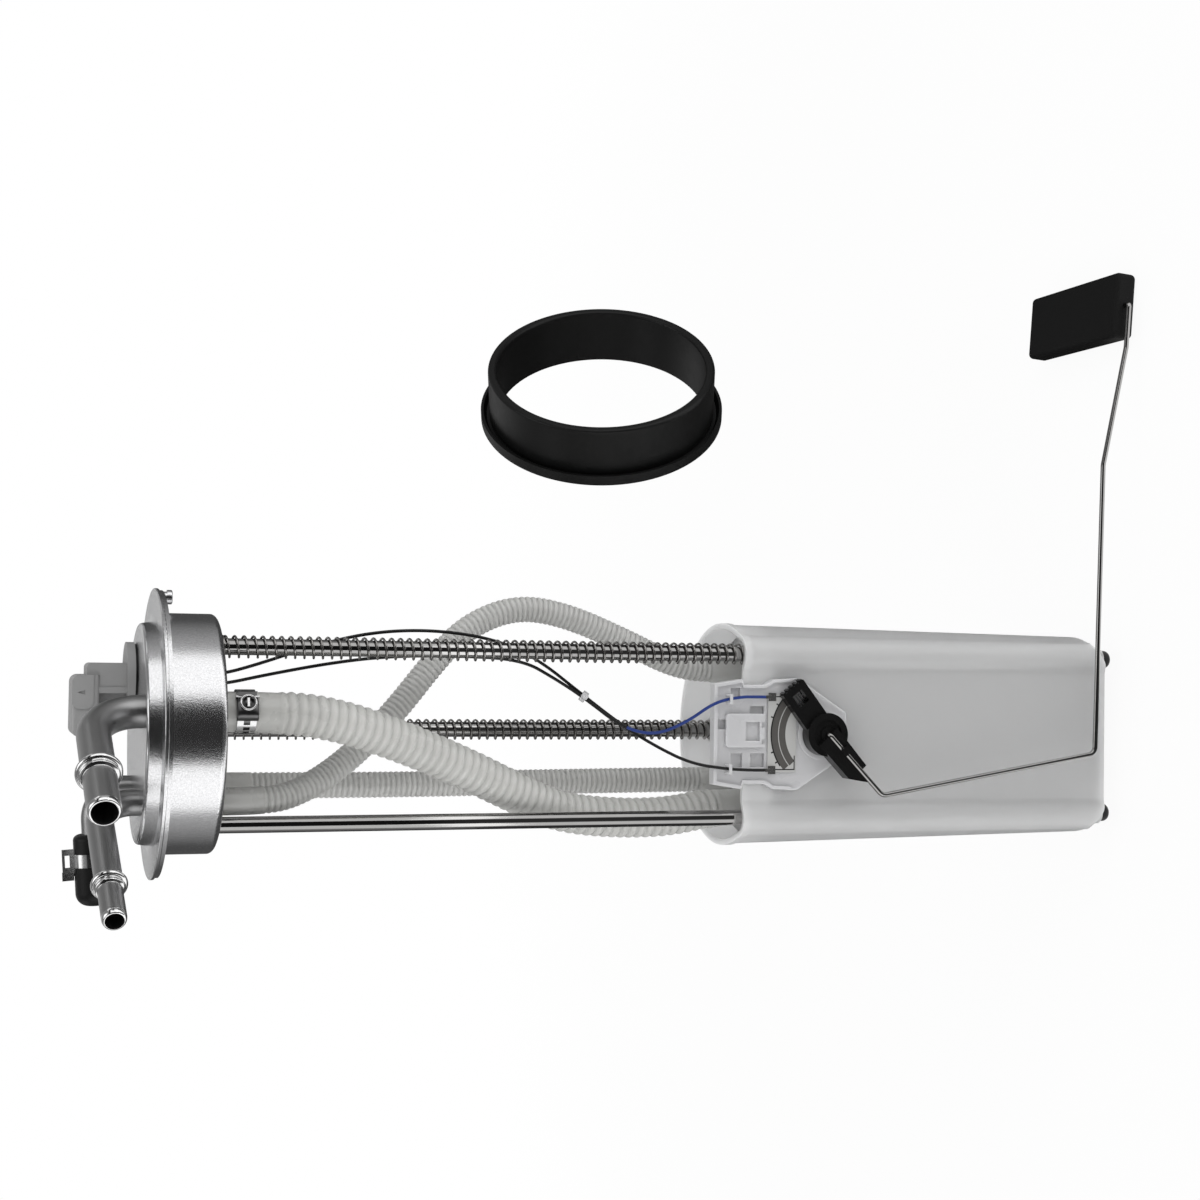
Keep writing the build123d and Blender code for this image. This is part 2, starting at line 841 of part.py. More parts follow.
def reservoir():
    """The moulded bucket, open at its rim, with bosses for the feet."""
    band_low = reservoir_rim_z - rim_band_height
    proud = rim_band_proud
    band = bucket_section(reservoir_r + proud, front_y - proud, lobe_r + proud, lobe_blend - proud)
    body = bucket_form(0, reservoir_low_z)
    body += Pos(0, 0, band_low) * extrude(band, rim_band_height)
    for name in rod_angles:
        body += upright(
            rod_place(name), foot_boss_r, reservoir_low_z, reservoir_low_z + foot_boss_height
        )
    body -= bucket_form(reservoir_wall, floor_z)
    low, high = reservoir_low_z - reservoir_floor, floor_z + reservoir_floor
    body -= upright((0, 0), valve_stem_d / 2 + seat_clearance, low, high)
    for spot in PolarLocations(inlet_slot_circle, inlet_slot_count):
        place = (spot.position.X, spot.position.Y)
        body -= upright(place, inlet_slot_r, low, high)
    return body


def rubber_feet():
    """Soft domed feet under the three bosses."""
    feet = []
    for name in rod_angles:
        foot = upright(
            rod_place(name), foot_d / 2, reservoir_low_z - foot_height, reservoir_low_z
        )
        feet.append(fillet(foot.edges().sort_by(Axis.Z)[0], foot_height / 2))
    return feet


def inlet_valve():
    """The umbrella valve over the inlet slots in the reservoir's floor."""
    stem = upright((0, 0), valve_stem_d / 2, reservoir_low_z - valve_stem_d / 2, floor_z)
    cap = upright((0, 0), valve_cap_d / 2, floor_z, floor_z + reservoir_floor)
    cap = fillet(cap.edges().sort_by(Axis.Z)[-1], reservoir_floor / 2)
    knob = upright((0, 0), valve_knob_d / 2, reservoir_low_z - valve_stem_d, reservoir_low_z)
    return stem + cap + knob


def lid():
    """The plate inside the rim that carries the bushes and the hose stubs."""
    draft = reservoir_draft * (lid_depth + lid_thickness) / reservoir_height
    inset = reservoir_wall + lid_clearance + draft
    blend = lobe_blend + inset
    outline = bucket_section(reservoir_r - inset, front_y + inset, lobe_r - inset, blend)
    low_z = lid_z - lid_thickness
    body = Pos(0, 0, low_z) * extrude(outline, lid_thickness)
    for name in rod_angles:
        body += upright(rod_place(name), boss_r, boss_low_z, lid_z)
    body += upright(vent_hose_end, return_d / 2, lid_z, lid_z + stub_height)
    for name in rod_angles:
        body -= upright(rod_place(name), bush_r, boss_low_z, lid_z)
    body -= upright(vent_hose_end, return_d / 2 - return_wall, low_z, lid_z + stub_height)
    body -= upright(feed_hose_end, feed_d / 2 + seat_clearance, low_z, lid_z)
    body -= upright(return_hose_end, return_d / 2 + seat_clearance, low_z, lid_z)
    return body


def rod_bushes():
    """Plain bushes that run on the guide rods."""
    bushes = []
    for name in rod_angles:
        place = rod_place(name)
        bush = upright(place, bush_r, boss_low_z, lid_z)
        bush += upright(place, boss_r, lid_z, bush_top_z)
        bore_r = rod_d / 2 + running_clearance
        bushes.append(bush - upright(place, bore_r, boss_low_z, bush_top_z))
    return bushes


def pickup_tube():
    """The stiff tube from the feed hose down to the strainer, with a collar on the lid."""
    top_z = lid_z + stub_height
    foot_z = floor_z + strainer_size[2]
    body = upright(feed_hose_end, feed_d / 2, foot_z, top_z)
    collar_top = lid_z - lid_thickness
    body += upright(feed_hose_end, feed_d / 2 + feed_wall, collar_top - pickup_collar, collar_top)
    return body - upright(feed_hose_end, feed_d / 2 - feed_wall, foot_z, top_z)


def strainer():
    """The flat filter box that lies on the reservoir's floor."""
    x, y = feed_hose_end
    length, width, height = strainer_size
    body = Pos(x + length / 4, y, floor_z + height / 2) * Box(length, width, height)
    body = fillet(body.edges().filter_by(Axis.Z), width / 4)
    body = fillet(body.edges().group_by(Axis.Z)[-1], height / 6)
    return body & bucket_form(reservoir_wall + lid_clearance, floor_z + lid_clearance)


def jet_pump():
    """The pump that returning fuel drives: a drop tube, a nozzle chamber and a foot."""
    x, y = return_hose_end
    top_z = lid_z + stub_height
    chamber_z = floor_z + jet_body_height
    outline = Polyline(
        (return_d / 2 - return_wall, top_z),
        (return_d / 2, top_z),
        (return_d / 2, chamber_z + return_d),
        (jet_body_d / 2, chamber_z),
        (jet_body_d / 2, floor_z + jet_body_height / 2),
        (jet_throat_d / 2 + return_wall, floor_z + jet_body_height / 3),
        (jet_foot_d / 2, floor_z),
        (jet_throat_d / 2, floor_z),
        (jet_throat_d / 2, chamber_z),
        (return_d / 2 - return_wall, chamber_z + return_d),
        close=True,
    )
    body = revolve(Plane.XZ * make_face(outline), Axis.Z)
    window = Box(2 * jet_body_d, jet_throat_d / 2, jet_throat_d / 2)
    body -= Pos(0, 0, floor_z + jet_throat_d / 4) * window
    return Pos(x, y, 0) * body


def clamp_band():
    """The steel band round the feed hose."""
    inner_r = feed_hose_d / 2 + seat_clearance
    low_z = clamp_top_z - clamp_width
    return ring(feed_place, inner_r + clamp_thickness, inner_r, low_z, clamp_top_z)


def clamp_spot():
    """The frame of the clamp's housing, looking outward from the hose."""
    inner_r = feed_hose_d / 2 + seat_clearance + clamp_thickness
    angle = math.radians(clamp_turn)
    way = Vector(math.sin(angle), -math.cos(angle), 0)
    middle = Vector(feed_place[0], feed_place[1], clamp_top_z - clamp_width / 2)
    return Plane(origin=middle + way * inner_r, x_dir=(0, 0, 1), z_dir=way)


def clamp_housing_body():
    """The pressed housing on the band."""
    height, depth, width = clamp_housing
    body = Pos(0, 0, depth / 2) * Box(height, width, depth)
    body = fillet(body.edges().filter_by(Axis.Z), width / 6)
    body = clamp_spot().location * body
    inner_r = feed_hose_d / 2 + seat_clearance + clamp_thickness
    return body - upright(feed_place, inner_r, clamp_top_z - 2 * clamp_width, 0)


def clamp_screw():
    """The slotted screw head that faces outward from the housing."""
    depth = clamp_housing[1]
    head = Cylinder(screw_head_d / 2, screw_head_height)
    slot = Box(2 * screw_head_d, screw_slot, screw_head_height)
    head -= Pos(0, 0, screw_head_height / 2) * slot
    return clamp_spot().location * Pos(0, 0, depth + screw_head_height / 2) * head


def wire_tie():
    """The clear band that holds the two sender wires together."""
    middle = (Vector(*black_route[tie_point_number]) + Vector(*blue_route[tie_point_number])) / 2
    way = unit(Vector(*blue_route[tie_point_number + 1]) - Vector(*blue_route[tie_point_number - 1]))
    band = Cylinder(tie_bore / 2 + tie_wall, tie_width) - Cylinder(tie_bore / 2, tie_width)
    return Plane(origin=middle, z_dir=way).location * band


def slab(outline, back_y, face_y):
    """A slab whose outline is given as X and Z, between two depths."""
    flat = Plane(origin=(0, back_y, 0), x_dir=(1, 0, 0), z_dir=(0, -1, 0))
    face = flat * make_face(Polyline(*outline, close=True))
    return extrude(face, back_y - face_y)


def bracket_outline(inset=0.0):
    """The sender bracket seen from the front, stepped in where it passes the rim."""
    top = pivot_z + bracket_top - inset
    chin = pivot_z + bracket_chin + inset
    halves = [half - inset for height, half in bracket_steps]
    heights = [top] + [pivot_z + height for height, half in bracket_steps[1:]]
    left = [(pivot_x + half, height) for half, height in zip(halves, heights)]
    right = [(pivot_x - half, height) for half, height in zip(halves, heights)]
    return left + [(pivot_x + hub_r, chin), (pivot_x - hub_r, chin)] + right[::-1]


def bracket_cut(corners, depth, proud=0.0):
    """A pocket between two corners given from the pivot, cut down from a proud face."""
    (low_x, low_z), (high_x, high_z) = corners
    face_y = bracket_front_y - proud
    return block(
        (pivot_x + low_x, face_y - bracket_edge_height, pivot_z + low_z),
        (pivot_x + high_x, face_y + depth, pivot_z + high_z),
    )


def bracket_face():
    """What stands proud of the bracket's plate: its edge, the panel and the hub's ring."""
    edge_y = bracket_front_y - bracket_edge_height
    frame = slab(bracket_outline(), bracket_front_y, edge_y)
    frame -= slab(bracket_outline(bracket_edge), bracket_front_y, edge_y)
    sweep_r = arm_reach + 2 * tooth_height
    frame -= along_y(pivot_x, pivot_z, sweep_r, edge_y, bracket_front_y)
    panel = block(
        (pivot_x + panel_low[0], bracket_front_y - panel_height, pivot_z + panel_low[1]),
        (pivot_x + panel_high[0], bracket_front_y, pivot_z + panel_high[1]),
    )
    panel = fillet(panel.edges().filter_by(Axis.Y).group_by(Axis.Z)[-1], panel_round)
    collar = along_y(pivot_x, pivot_z, hub_r + bracket_ring, card_front_y, bracket_front_y)
    return frame + panel + collar


def rim_hooks():
    """The two hooks that hang the bracket on the reservoir's rim."""
    inner_y = front_y + reservoir_wall + lid_clearance
    over_z = reservoir_rim_z + lid_clearance
    hook_x = panel_high[0] - panel_low[0]
    hooks = []
    for side in (-1, 1):
        centre_x = pivot_x + side * (bracket_half - hook_x / 2)
        low_x, high_x = centre_x - hook_x / 4, centre_x + hook_x / 4
        hook = block(
            (low_x, front_y, over_z),
            (high_x, inner_y + hook_thickness, over_z + hook_thickness),
        )
        hook += block(
            (low_x, inner_y, reservoir_rim_z - hook_reach),
            (high_x, inner_y + hook_thickness, over_z),
        )
        hooks.append(hook)
    return hooks


def wire_guide(place):
    """A small bridge that a sender wire passes under."""
    x, z = pivot_x + place[0], pivot_z + place[1]
    half_x = guide_room[0] / 2 + guide_wall
    top_y = bracket_front_y - guide_room[1]
    low_z, high_z = z - guide_width / 2, z + guide_width / 2
    bridge = block((x - half_x, top_y - guide_wall, low_z), (x + half_x, bracket_front_y, high_z))
    room = guide_room[0] / 2
    return bridge - block((x - room, top_y, low_z), (x + room, bracket_front_y, high_z))


def sender_bracket():
    """The white moulding that hooks over the reservoir's rim and carries the sender."""
    body = slab(bracket_outline(), front_y, bracket_front_y) + bracket_face()
    for corners in bracket_pockets:
        body -= bracket_cut(corners, bracket_pocket_depth)
    body -= bracket_cut(panel_window, bracket_pocket_depth, panel_height)
    for corners in panel_slots:
        body -= bracket_cut(corners, bracket_pocket_depth, panel_height)
    for hook in rim_hooks():
        body += hook
    for place in wire_guides:
        body += wire_guide(place)
    band_low = reservoir_rim_z - rim_band_height - lid_clearance
    body -= block(
        (pivot_x - 2 * bracket_half, front_y - rim_band_proud - seat_clearance, band_low),
        (pivot_x + 2 * bracket_half, front_y, reservoir_rim_z + lid_clearance),
    )
    bore_r = shaft_r + running_clearance
    return body - along_y(pivot_x, pivot_z, bore_r, card_front_y, front_y - can_wall / 4)


def resistor_card():
    """The ceramic card with the printed resistor."""
    return block(
        (pivot_x + card_right, card_front_y, pivot_z + card_low),
        (pivot_x + card_left, bracket_front_y, card_top_z),
    )


def card_terminals():
    """The crimped terminals at the card's edge."""
    terminals = []
    for route in (black_route, blue_route):
        x = route[-1][0]
        plate = block(
            (x - terminal_size / 2, card_front_y - terminal_thickness, card_top_z - terminal_size),
            (x + terminal_size / 2, card_front_y, card_top_z),
        )
        plate += block(
            (x - wire_d / 2, route[-1][1] - wire_d / 2, card_top_z - terminal_size / 2),
            (x + wire_d / 2, card_front_y, card_top_z + terminal_size / 2),
        )
        terminals.append(plate)
    return terminals


def arm_plane(angle, y):
    """A plane facing -Y at the pivot, whose X runs out along an arm."""
    turn = math.radians(angle)
    way = (math.cos(turn), 0, math.sin(turn))
    return Plane(origin=(pivot_x, y, pivot_z), x_dir=way, z_dir=(0, -1, 0))


def clip_arm():
    """The arm that grips the float wire between a cheek and a strip with a hook over it."""
    groove = float_wire_d / 2 + seat_clearance
    wall = float_wire_stand - float_wire_d / 2 + clip_wall
    plane = arm_plane(clip_arm_angle, rotor_front_y)
    cheek = [(along, aside) for aside, along in clip_cheek]
    outline = make_face(Polyline((0, 0), *cheek, (clip_cheek[-1][1], 0), close=True))
    aside, along = clip_strip
    strip = make_face(
        Polyline((0, 0), (0, aside), (along, aside - clip_strip_taper), (along, 0), close=True)
    )
    body = Pos(0, 0, -clip_arm_depth) * extrude(outline + strip, clip_arm_depth + wall)
    body -= Pos(along, 0, wall) * Box(4 * along, 2 * groove, 2 * wall)
    hook_place, hook_length = clip_hook
    top = float_wire_stand + float_wire_d / 2 + seat_clearance
    hook_height = top + clip_hook_thickness
    hook = Pos(hook_place, 1.5 * groove, hook_height / 2) * Box(hook_length, groove, hook_height)
    bridge = Pos(hook_place, 0, top + clip_hook_thickness / 2)
    hook += bridge * Box(hook_length, 2 * groove, clip_hook_thickness)
    return plane.location * (body + hook)


def sender_rotor():
    """The black moulding: hub, wiper arm with a window, and the arm that clips the wire."""
    body = along_y(pivot_x, pivot_z, hub_r, rotor_front_y, rotor_back_y)
    recess_y = rotor_front_y + hub_recess
    body -= along_y(pivot_x, pivot_z, hub_recess_r, rotor_front_y, recess_y)
    body += along_y(pivot_x, pivot_z, hub_recess_r / 2, rotor_front_y, recess_y)
    wiper = arm_plane(arm_angle, rotor_back_y)
    slab = Pos(arm_reach / 2, 0, arm_depth / 2) * Box(arm_reach, arm_width, arm_depth)
    window = Pos(arm_reach - arm_window[0], 0, arm_depth / 2)
    slab -= window * Box(arm_window[0], arm_window[1], 2 * arm_depth)
    tooth_pitch = arm_width / tooth_count
    for i in range(tooth_count):
        offset = (i + 0.5) * tooth_pitch - arm_width / 2
        tooth = Box(2 * tooth_height, tooth_pitch / 2, arm_depth)
        slab += Pos(arm_reach, offset, arm_depth / 2) * tooth
    body += wiper.location * slab
    body += clip_arm()
    body += along_y(pivot_x, pivot_z, shaft_r, rotor_back_y, front_y - can_wall / 2)
    socket_r = float_wire_d / 2 + seat_clearance
    socket_y = rotor_front_y + float_wire_d
    return body - along_y(pivot_x, pivot_z, socket_r, float_wire_y, socket_y)


def wiper_contacts():
    """Spring fingers in the wiper's window that slide on the card."""
    wiper = arm_plane(arm_angle, rotor_back_y)
    low = seat_clearance - rotor_gap
    fingers = []
    for i in range(contact_count):
        offset = (i - (contact_count - 1) / 2) * contact_pitch
        finger = Box(arm_window[0], contact_width, contact_width / 2)
        tip = Box(contact_width, contact_width, contact_width / 2 - low)
        tip_z = (contact_width / 2 + low) / 2
        finger = Pos(arm_reach - arm_window[0], offset, contact_width / 4) * finger
        finger += Pos(arm_reach - arm_window[0], offset, tip_z) * tip
        fingers.append(wiper.location * finger)
    return fingers


def float_wire():
    """The bent steel wire from the rotor to the float."""
    tail_y = float_front_y + float_size[1] + float_wire_tail
    knees = [(pivot_x + x, float_wire_y, pivot_z + z) for x, z in float_wire_knees]
    points = [
        (pivot_x, rotor_front_y + float_wire_d, pivot_z),
        (pivot_x, float_wire_y, pivot_z),
        *knees,
        (float_x, float_wire_y, float_z),
        (float_x, tail_y, float_z),
    ]
    bend = float_wire_bend
    tight = float_wire_tight_bend
    return tube(points, [tight, bend, bend, 2 * bend, 2 * bend, tight], float_wire_d)


def float_block():
    """The foam float, bored along its length for the wire."""
    width, length, height = float_size
    body = fillet(Box(width, length, height).edges(), float_round)
    body -= Rot(90, 0, 0) * Cylinder(float_wire_d / 2 + running_clearance, 2 * length)
    middle_y = float_front_y + length / 2
    return Pos(float_x, middle_y, float_z) * Rot(0, float_tilt, 0) * body


def push_nut():
    """The push nut that keeps the float on its wire."""
    low_y = float_front_y + float_size[1] + running_clearance
    high_y = low_y + push_nut_thickness
    nut = along_y(float_x, float_z, push_nut_d / 2, low_y, high_y)
    return nut - along_y(float_x, float_z, float_wire_d / 2, low_y, high_y)


def seal_ring():
    """The rubber seal that fits between the can and the tank."""
    bore_r = can_r + seal_bore_clearance
    wall_r = bore_r + seal_wall
    lip_r = wall_r + seal_lip_reach
    lip_high = seal_lip_thickness + seal_lip_rise
    edge = seal_lip_reach / 3
    outline = Polyline(
        (bore_r, 0),
        (lip_r, 0),
        (lip_r, lip_high),
        (lip_r - edge, lip_high),
        (lip_r - 2 * edge, seal_lip_thickness),
        (wall_r, seal_lip_thickness),
        (wall_r, seal_height),
        (bore_r, seal_height),
        close=True,
    )
    section = make_face(outline)
    ends = section.vertices().filter_by(lambda v: v.Y > seal_height - near)
    section = fillet(ends, seal_wall / 3)
    low = section.vertices().filter_by(lambda v: v.Y < near)
    section = fillet(low, seal_wall / 4)
    body = Pos(0, 0, -seal_height) * revolve(Plane.XZ * section, Axis.Z)
    return Plane(origin=seal_rim_centre, z_dir=seal_axis).location * body


def save(name, shape):
    """Write one sub-part, or a group of separate solids, to its own file."""
    solids = shape if isinstance(shape, list) else [shape]
    solids = [solid for item in solids for solid in item.solids()]
    whole = solids[0] if len(solids) == 1 else Compound(children=solids)
    export_step(whole, os.path.join("parts", name + ".step"))


os.makedirs("parts", exist_ok=True)
save("cover_plate", cover_plate())
save("can", can())
save("index_peg", index_peg())
save("feed_pipe", feed_pipe())
save("return_pipe", return_pipe())
save("vent_pipe", vent_pipe())
save("port_cap", port_cap())
save("cap_clip", cap_clip())
save("connector", connector())
save("connector_pins", connector_pins())
save("connector_gasket", connector_gasket())
save("wire_grommet", wire_grommet())
for rod_name in rod_angles:
    save("guide_rod_" + rod_name, guide_rod(rod_name))
save("rod_clips", rod_clips())
for rod_name in ("upper", "rear"):
    save("spring_" + rod_name, spring(rod_name))
save("feed_hose", soft_tube("feed hose", feed_route, feed_hose_d, feed_d + snug))
save("return_hose", soft_tube("return hose", return_route, small_hose_d, return_d + snug))
save("vent_hose", soft_tube("vent hose", vent_route, small_hose_d, return_d + snug))
save("wire_black", soft_tube("black wire", black_route, wire_d))
save("wire_blue", soft_tube("blue wire", blue_route, wire_d))
save("wire_tie", wire_tie())
save("clamp_band", clamp_band())
save("clamp_housing", clamp_housing_body())
save("clamp_screw", clamp_screw())
save("reservoir", reservoir())
save("rubber_feet", rubber_feet())
save("inlet_valve", inlet_valve())
save("reservoir_lid", lid())
save("rod_bushes", rod_bushes())
save("pickup_tube", pickup_tube())
save("strainer", strainer())
save("jet_pump", jet_pump())
save("sender_bracket", sender_bracket())
save("resistor_card", resistor_card())
save("card_terminals", card_terminals())
save("sender_rotor", sender_rotor())
save("wiper_contacts", wiper_contacts())
save("float_wire", float_wire())
save("float", float_block())
save("push_nut", push_nut())
save("seal_ring", seal_ring())
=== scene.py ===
import json
import math

import bmesh
import bpy
import numpy as np
from mathutils import Matrix, Vector

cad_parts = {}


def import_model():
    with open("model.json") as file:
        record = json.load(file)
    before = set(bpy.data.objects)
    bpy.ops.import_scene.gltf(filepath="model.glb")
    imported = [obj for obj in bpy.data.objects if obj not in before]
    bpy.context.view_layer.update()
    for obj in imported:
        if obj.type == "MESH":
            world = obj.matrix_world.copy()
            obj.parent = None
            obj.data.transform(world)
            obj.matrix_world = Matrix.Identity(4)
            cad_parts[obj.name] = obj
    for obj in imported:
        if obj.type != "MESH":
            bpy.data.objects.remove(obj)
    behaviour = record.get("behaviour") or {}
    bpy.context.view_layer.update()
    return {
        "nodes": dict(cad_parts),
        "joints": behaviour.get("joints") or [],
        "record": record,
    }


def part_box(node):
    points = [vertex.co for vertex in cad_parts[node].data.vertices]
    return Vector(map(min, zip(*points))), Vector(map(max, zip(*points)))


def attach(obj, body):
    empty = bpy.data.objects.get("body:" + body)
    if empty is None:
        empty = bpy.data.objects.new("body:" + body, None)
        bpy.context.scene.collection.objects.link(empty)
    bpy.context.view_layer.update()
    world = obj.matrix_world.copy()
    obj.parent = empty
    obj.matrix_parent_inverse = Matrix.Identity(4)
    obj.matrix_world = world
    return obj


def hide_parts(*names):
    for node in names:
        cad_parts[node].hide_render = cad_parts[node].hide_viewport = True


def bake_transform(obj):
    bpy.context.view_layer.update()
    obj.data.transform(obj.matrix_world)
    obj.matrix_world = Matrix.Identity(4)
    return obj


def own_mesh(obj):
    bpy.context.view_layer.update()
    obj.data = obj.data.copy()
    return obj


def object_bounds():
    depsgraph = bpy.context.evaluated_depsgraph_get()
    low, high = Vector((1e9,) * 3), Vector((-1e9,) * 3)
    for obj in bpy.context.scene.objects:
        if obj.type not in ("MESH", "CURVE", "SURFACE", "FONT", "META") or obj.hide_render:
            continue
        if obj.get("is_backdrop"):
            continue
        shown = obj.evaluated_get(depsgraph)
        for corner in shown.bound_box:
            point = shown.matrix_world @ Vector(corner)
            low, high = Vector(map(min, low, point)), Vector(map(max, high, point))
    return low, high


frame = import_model()

nodes = frame["nodes"]
MM = 0.001


def box_of(node):
    """Lowest and highest corner of a solid, in millimetres."""
    low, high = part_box(node)
    return low / MM, high / MM


# Camera, at the photograph's viewing angle.
# The module is shown lying down: its +Z points to the left of the picture and its +X upwards.
camera_place = Vector((36.1, -802.1, 78.9)) * MM
camera_yaw = math.radians(18.647)
camera_pitch = math.radians(-1.587)
camera_roll = math.radians(-0.852)
focal_pixels = 1896.6
picture_pixels = 1200
sensor_width = 36.0


def camera():
    """The camera, turned from a level view of the lying module by yaw, pitch and roll."""
    data = bpy.data.cameras.new("camera")
    data.sensor_width = sensor_width
    data.lens = focal_pixels * sensor_width / picture_pixels
    data.clip_start = 0.01
    eye = bpy.data.objects.new("camera", data)
    bpy.context.scene.collection.objects.link(eye)
    turn = (
        Matrix.Rotation(camera_roll, 3, "Z")
        @ Matrix.Rotation(camera_pitch, 3, "X")
        @ Matrix.Rotation(camera_yaw, 3, "Y")
    )
    right, up, back = [Vector((row[1], -row[2], -row[0])) for row in turn]
    rotation = Matrix((right, up, back)).transposed()
    eye.matrix_world = Matrix.Translation(camera_place) @ rotation.to_4x4()
    bpy.context.scene.camera = eye


# Studio: angles are turned from -Y about the module's long axis, +X being positive
floor_gap = 0.4
floor_glow = 0.93
world_light = 0.62
lamp_strength = 1.25
lamp_reach = 1.05
lamp_turns = {"left": 58.0, "right": -49.5}
lamp_half_turn = 24.0
board_reach = 1.35
board_half_turn = 38.0
fade_reach = 1.2
fade_half_turn = 27.0
lamp_length = 1.5
lamp_height = -0.15
board_turn_share = 1.1
board_length = 3.0
fade_height = -0.4
fade_length = 1.8
studio_middle = Vector((0.0, 0.0, -0.2))
floor_size = 16.0
floor_fade = (0.55, 1.3)
floor_color = (0.9, 0.9, 0.9, 1)
plain_white = (1, 1, 1, 1)
front_shade = 0.015
fade_shade = 0.48
side_shade = 0.07
back_shade = 0.28
top_shade = 0.22
low_shade = 0.06
glint_blur = 5.0


def node_tree(material):
    """An emptied node tree of a material or world, with its links."""
    material.use_nodes = True
    tree = material.node_tree
    tree.nodes.clear()
    return tree


def math_node(tree, operation, *values):
    """The result of a Math node on other nodes' outputs and plain numbers."""
    node = tree.nodes.new("ShaderNodeMath")
    node.operation = operation
    for socket, value in zip(node.inputs, values):
        if isinstance(value, (int, float)):
            socket.default_value = value
        else:
            tree.links.new(value, socket)
    return node.outputs[0]


def ramp(tree, value, before, after, smooth=False):
    """A value mapped from one pair of numbers to another, and held at its ends."""
    node = tree.nodes.new("ShaderNodeMapRange")
    if smooth:
        node.interpolation_type = "SMOOTHSTEP"
    node.inputs["From Min"].default_value = before[0]
    node.inputs["From Max"].default_value = before[1]
    node.inputs["To Min"].default_value = after[0]
    node.inputs["To Max"].default_value = after[1]
    tree.links.new(value, node.inputs["Value"])
    return node.outputs["Result"]


def seen_directly(tree):
    """1 for camera, glossy and transmission rays, and 0 for the light that falls on things."""
    path = tree.nodes.new("ShaderNodeLightPath")
    first = math_node(tree, "MAXIMUM", path.outputs["Is Camera Ray"], path.outputs["Is Glossy Ray"])
    return math_node(tree, "MAXIMUM", first, path.outputs["Is Transmission Ray"])


def world():
    """Even light all round, and plain white where it is seen."""
    sky = bpy.data.worlds.new("studio")
    bpy.context.scene.world = sky
    tree = node_tree(sky)
    light = tree.nodes.new("ShaderNodeBackground")
    light.inputs["Color"].default_value = plain_white
    light.inputs["Strength"].default_value = world_light
    white = tree.nodes.new("ShaderNodeBackground")
    white.inputs["Color"].default_value = plain_white
    mix = tree.nodes.new("ShaderNodeMixShader")
    out = tree.nodes.new("ShaderNodeOutputWorld")
    tree.links.new(seen_directly(tree), mix.inputs[0])
    tree.links.new(light.outputs[0], mix.inputs[1])
    tree.links.new(white.outputs[0], mix.inputs[2])
    tree.links.new(mix.outputs[0], out.inputs[0])
    sky.cycles.sampling_method = "NONE"


def floor():
    """A pale floor under the module, which fades into the white around it."""
    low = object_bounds()[0]
    half = floor_size / 2
    mesh = bpy.data.meshes.new("floor")
    corners = [(-half, -half), (half, -half), (half, half), (-half, half)]
    height = low[2] - floor_gap * MM
    mesh.from_pydata([(x, y, height) for x, y in corners], [], [(0, 1, 2, 3)])
    plane = bpy.data.objects.new("floor", mesh)
    bpy.context.scene.collection.objects.link(plane)
    surface = bpy.data.materials.new("floor")
    tree = node_tree(surface)
    place = tree.nodes.new("ShaderNodeNewGeometry")
    length = tree.nodes.new("ShaderNodeVectorMath")
    length.operation = "LENGTH"
    tree.links.new(place.outputs["Position"], length.inputs[0])
    fade = ramp(tree, length.outputs["Value"], floor_fade, (floor_glow, 1.0), smooth=True)
    matt = tree.nodes.new("ShaderNodeBsdfDiffuse")
    matt.inputs["Color"].default_value = floor_color
    white = tree.nodes.new("ShaderNodeEmission")
    white.inputs["Color"].default_value = plain_white
    mix = tree.nodes.new("ShaderNodeMixShader")
    out = tree.nodes.new("ShaderNodeOutputMaterial")
    tree.links.new(math_node(tree, "MULTIPLY", fade, seen_directly(tree)), mix.inputs[0])
    tree.links.new(matt.outputs[0], mix.inputs[1])
    tree.links.new(white.outputs[0], mix.inputs[2])
    tree.links.new(mix.outputs[0], out.inputs[0])
    mesh.materials.append(surface)
    plane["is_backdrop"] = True


def aim(thing, place, target):
    """Put a lamp or card somewhere and turn its face to a target."""
    way = Vector(target) - Vector(place)
    thing.matrix_world = (
        Matrix.Translation(place) @ way.to_track_quat("-Z", "Y").to_matrix().to_4x4()
    )


def lamp(name, place, target, width, height, strength):
    """A soft rectangular lamp of a given brightness."""
    data = bpy.data.lights.new(name, "AREA")
    data.shape = "RECTANGLE"
    data.size = width
    data.size_y = height
    data.energy = strength * math.pi * width * height
    light = bpy.data.objects.new(name, data)
    bpy.context.scene.collection.objects.link(light)
    aim(light, place, target)


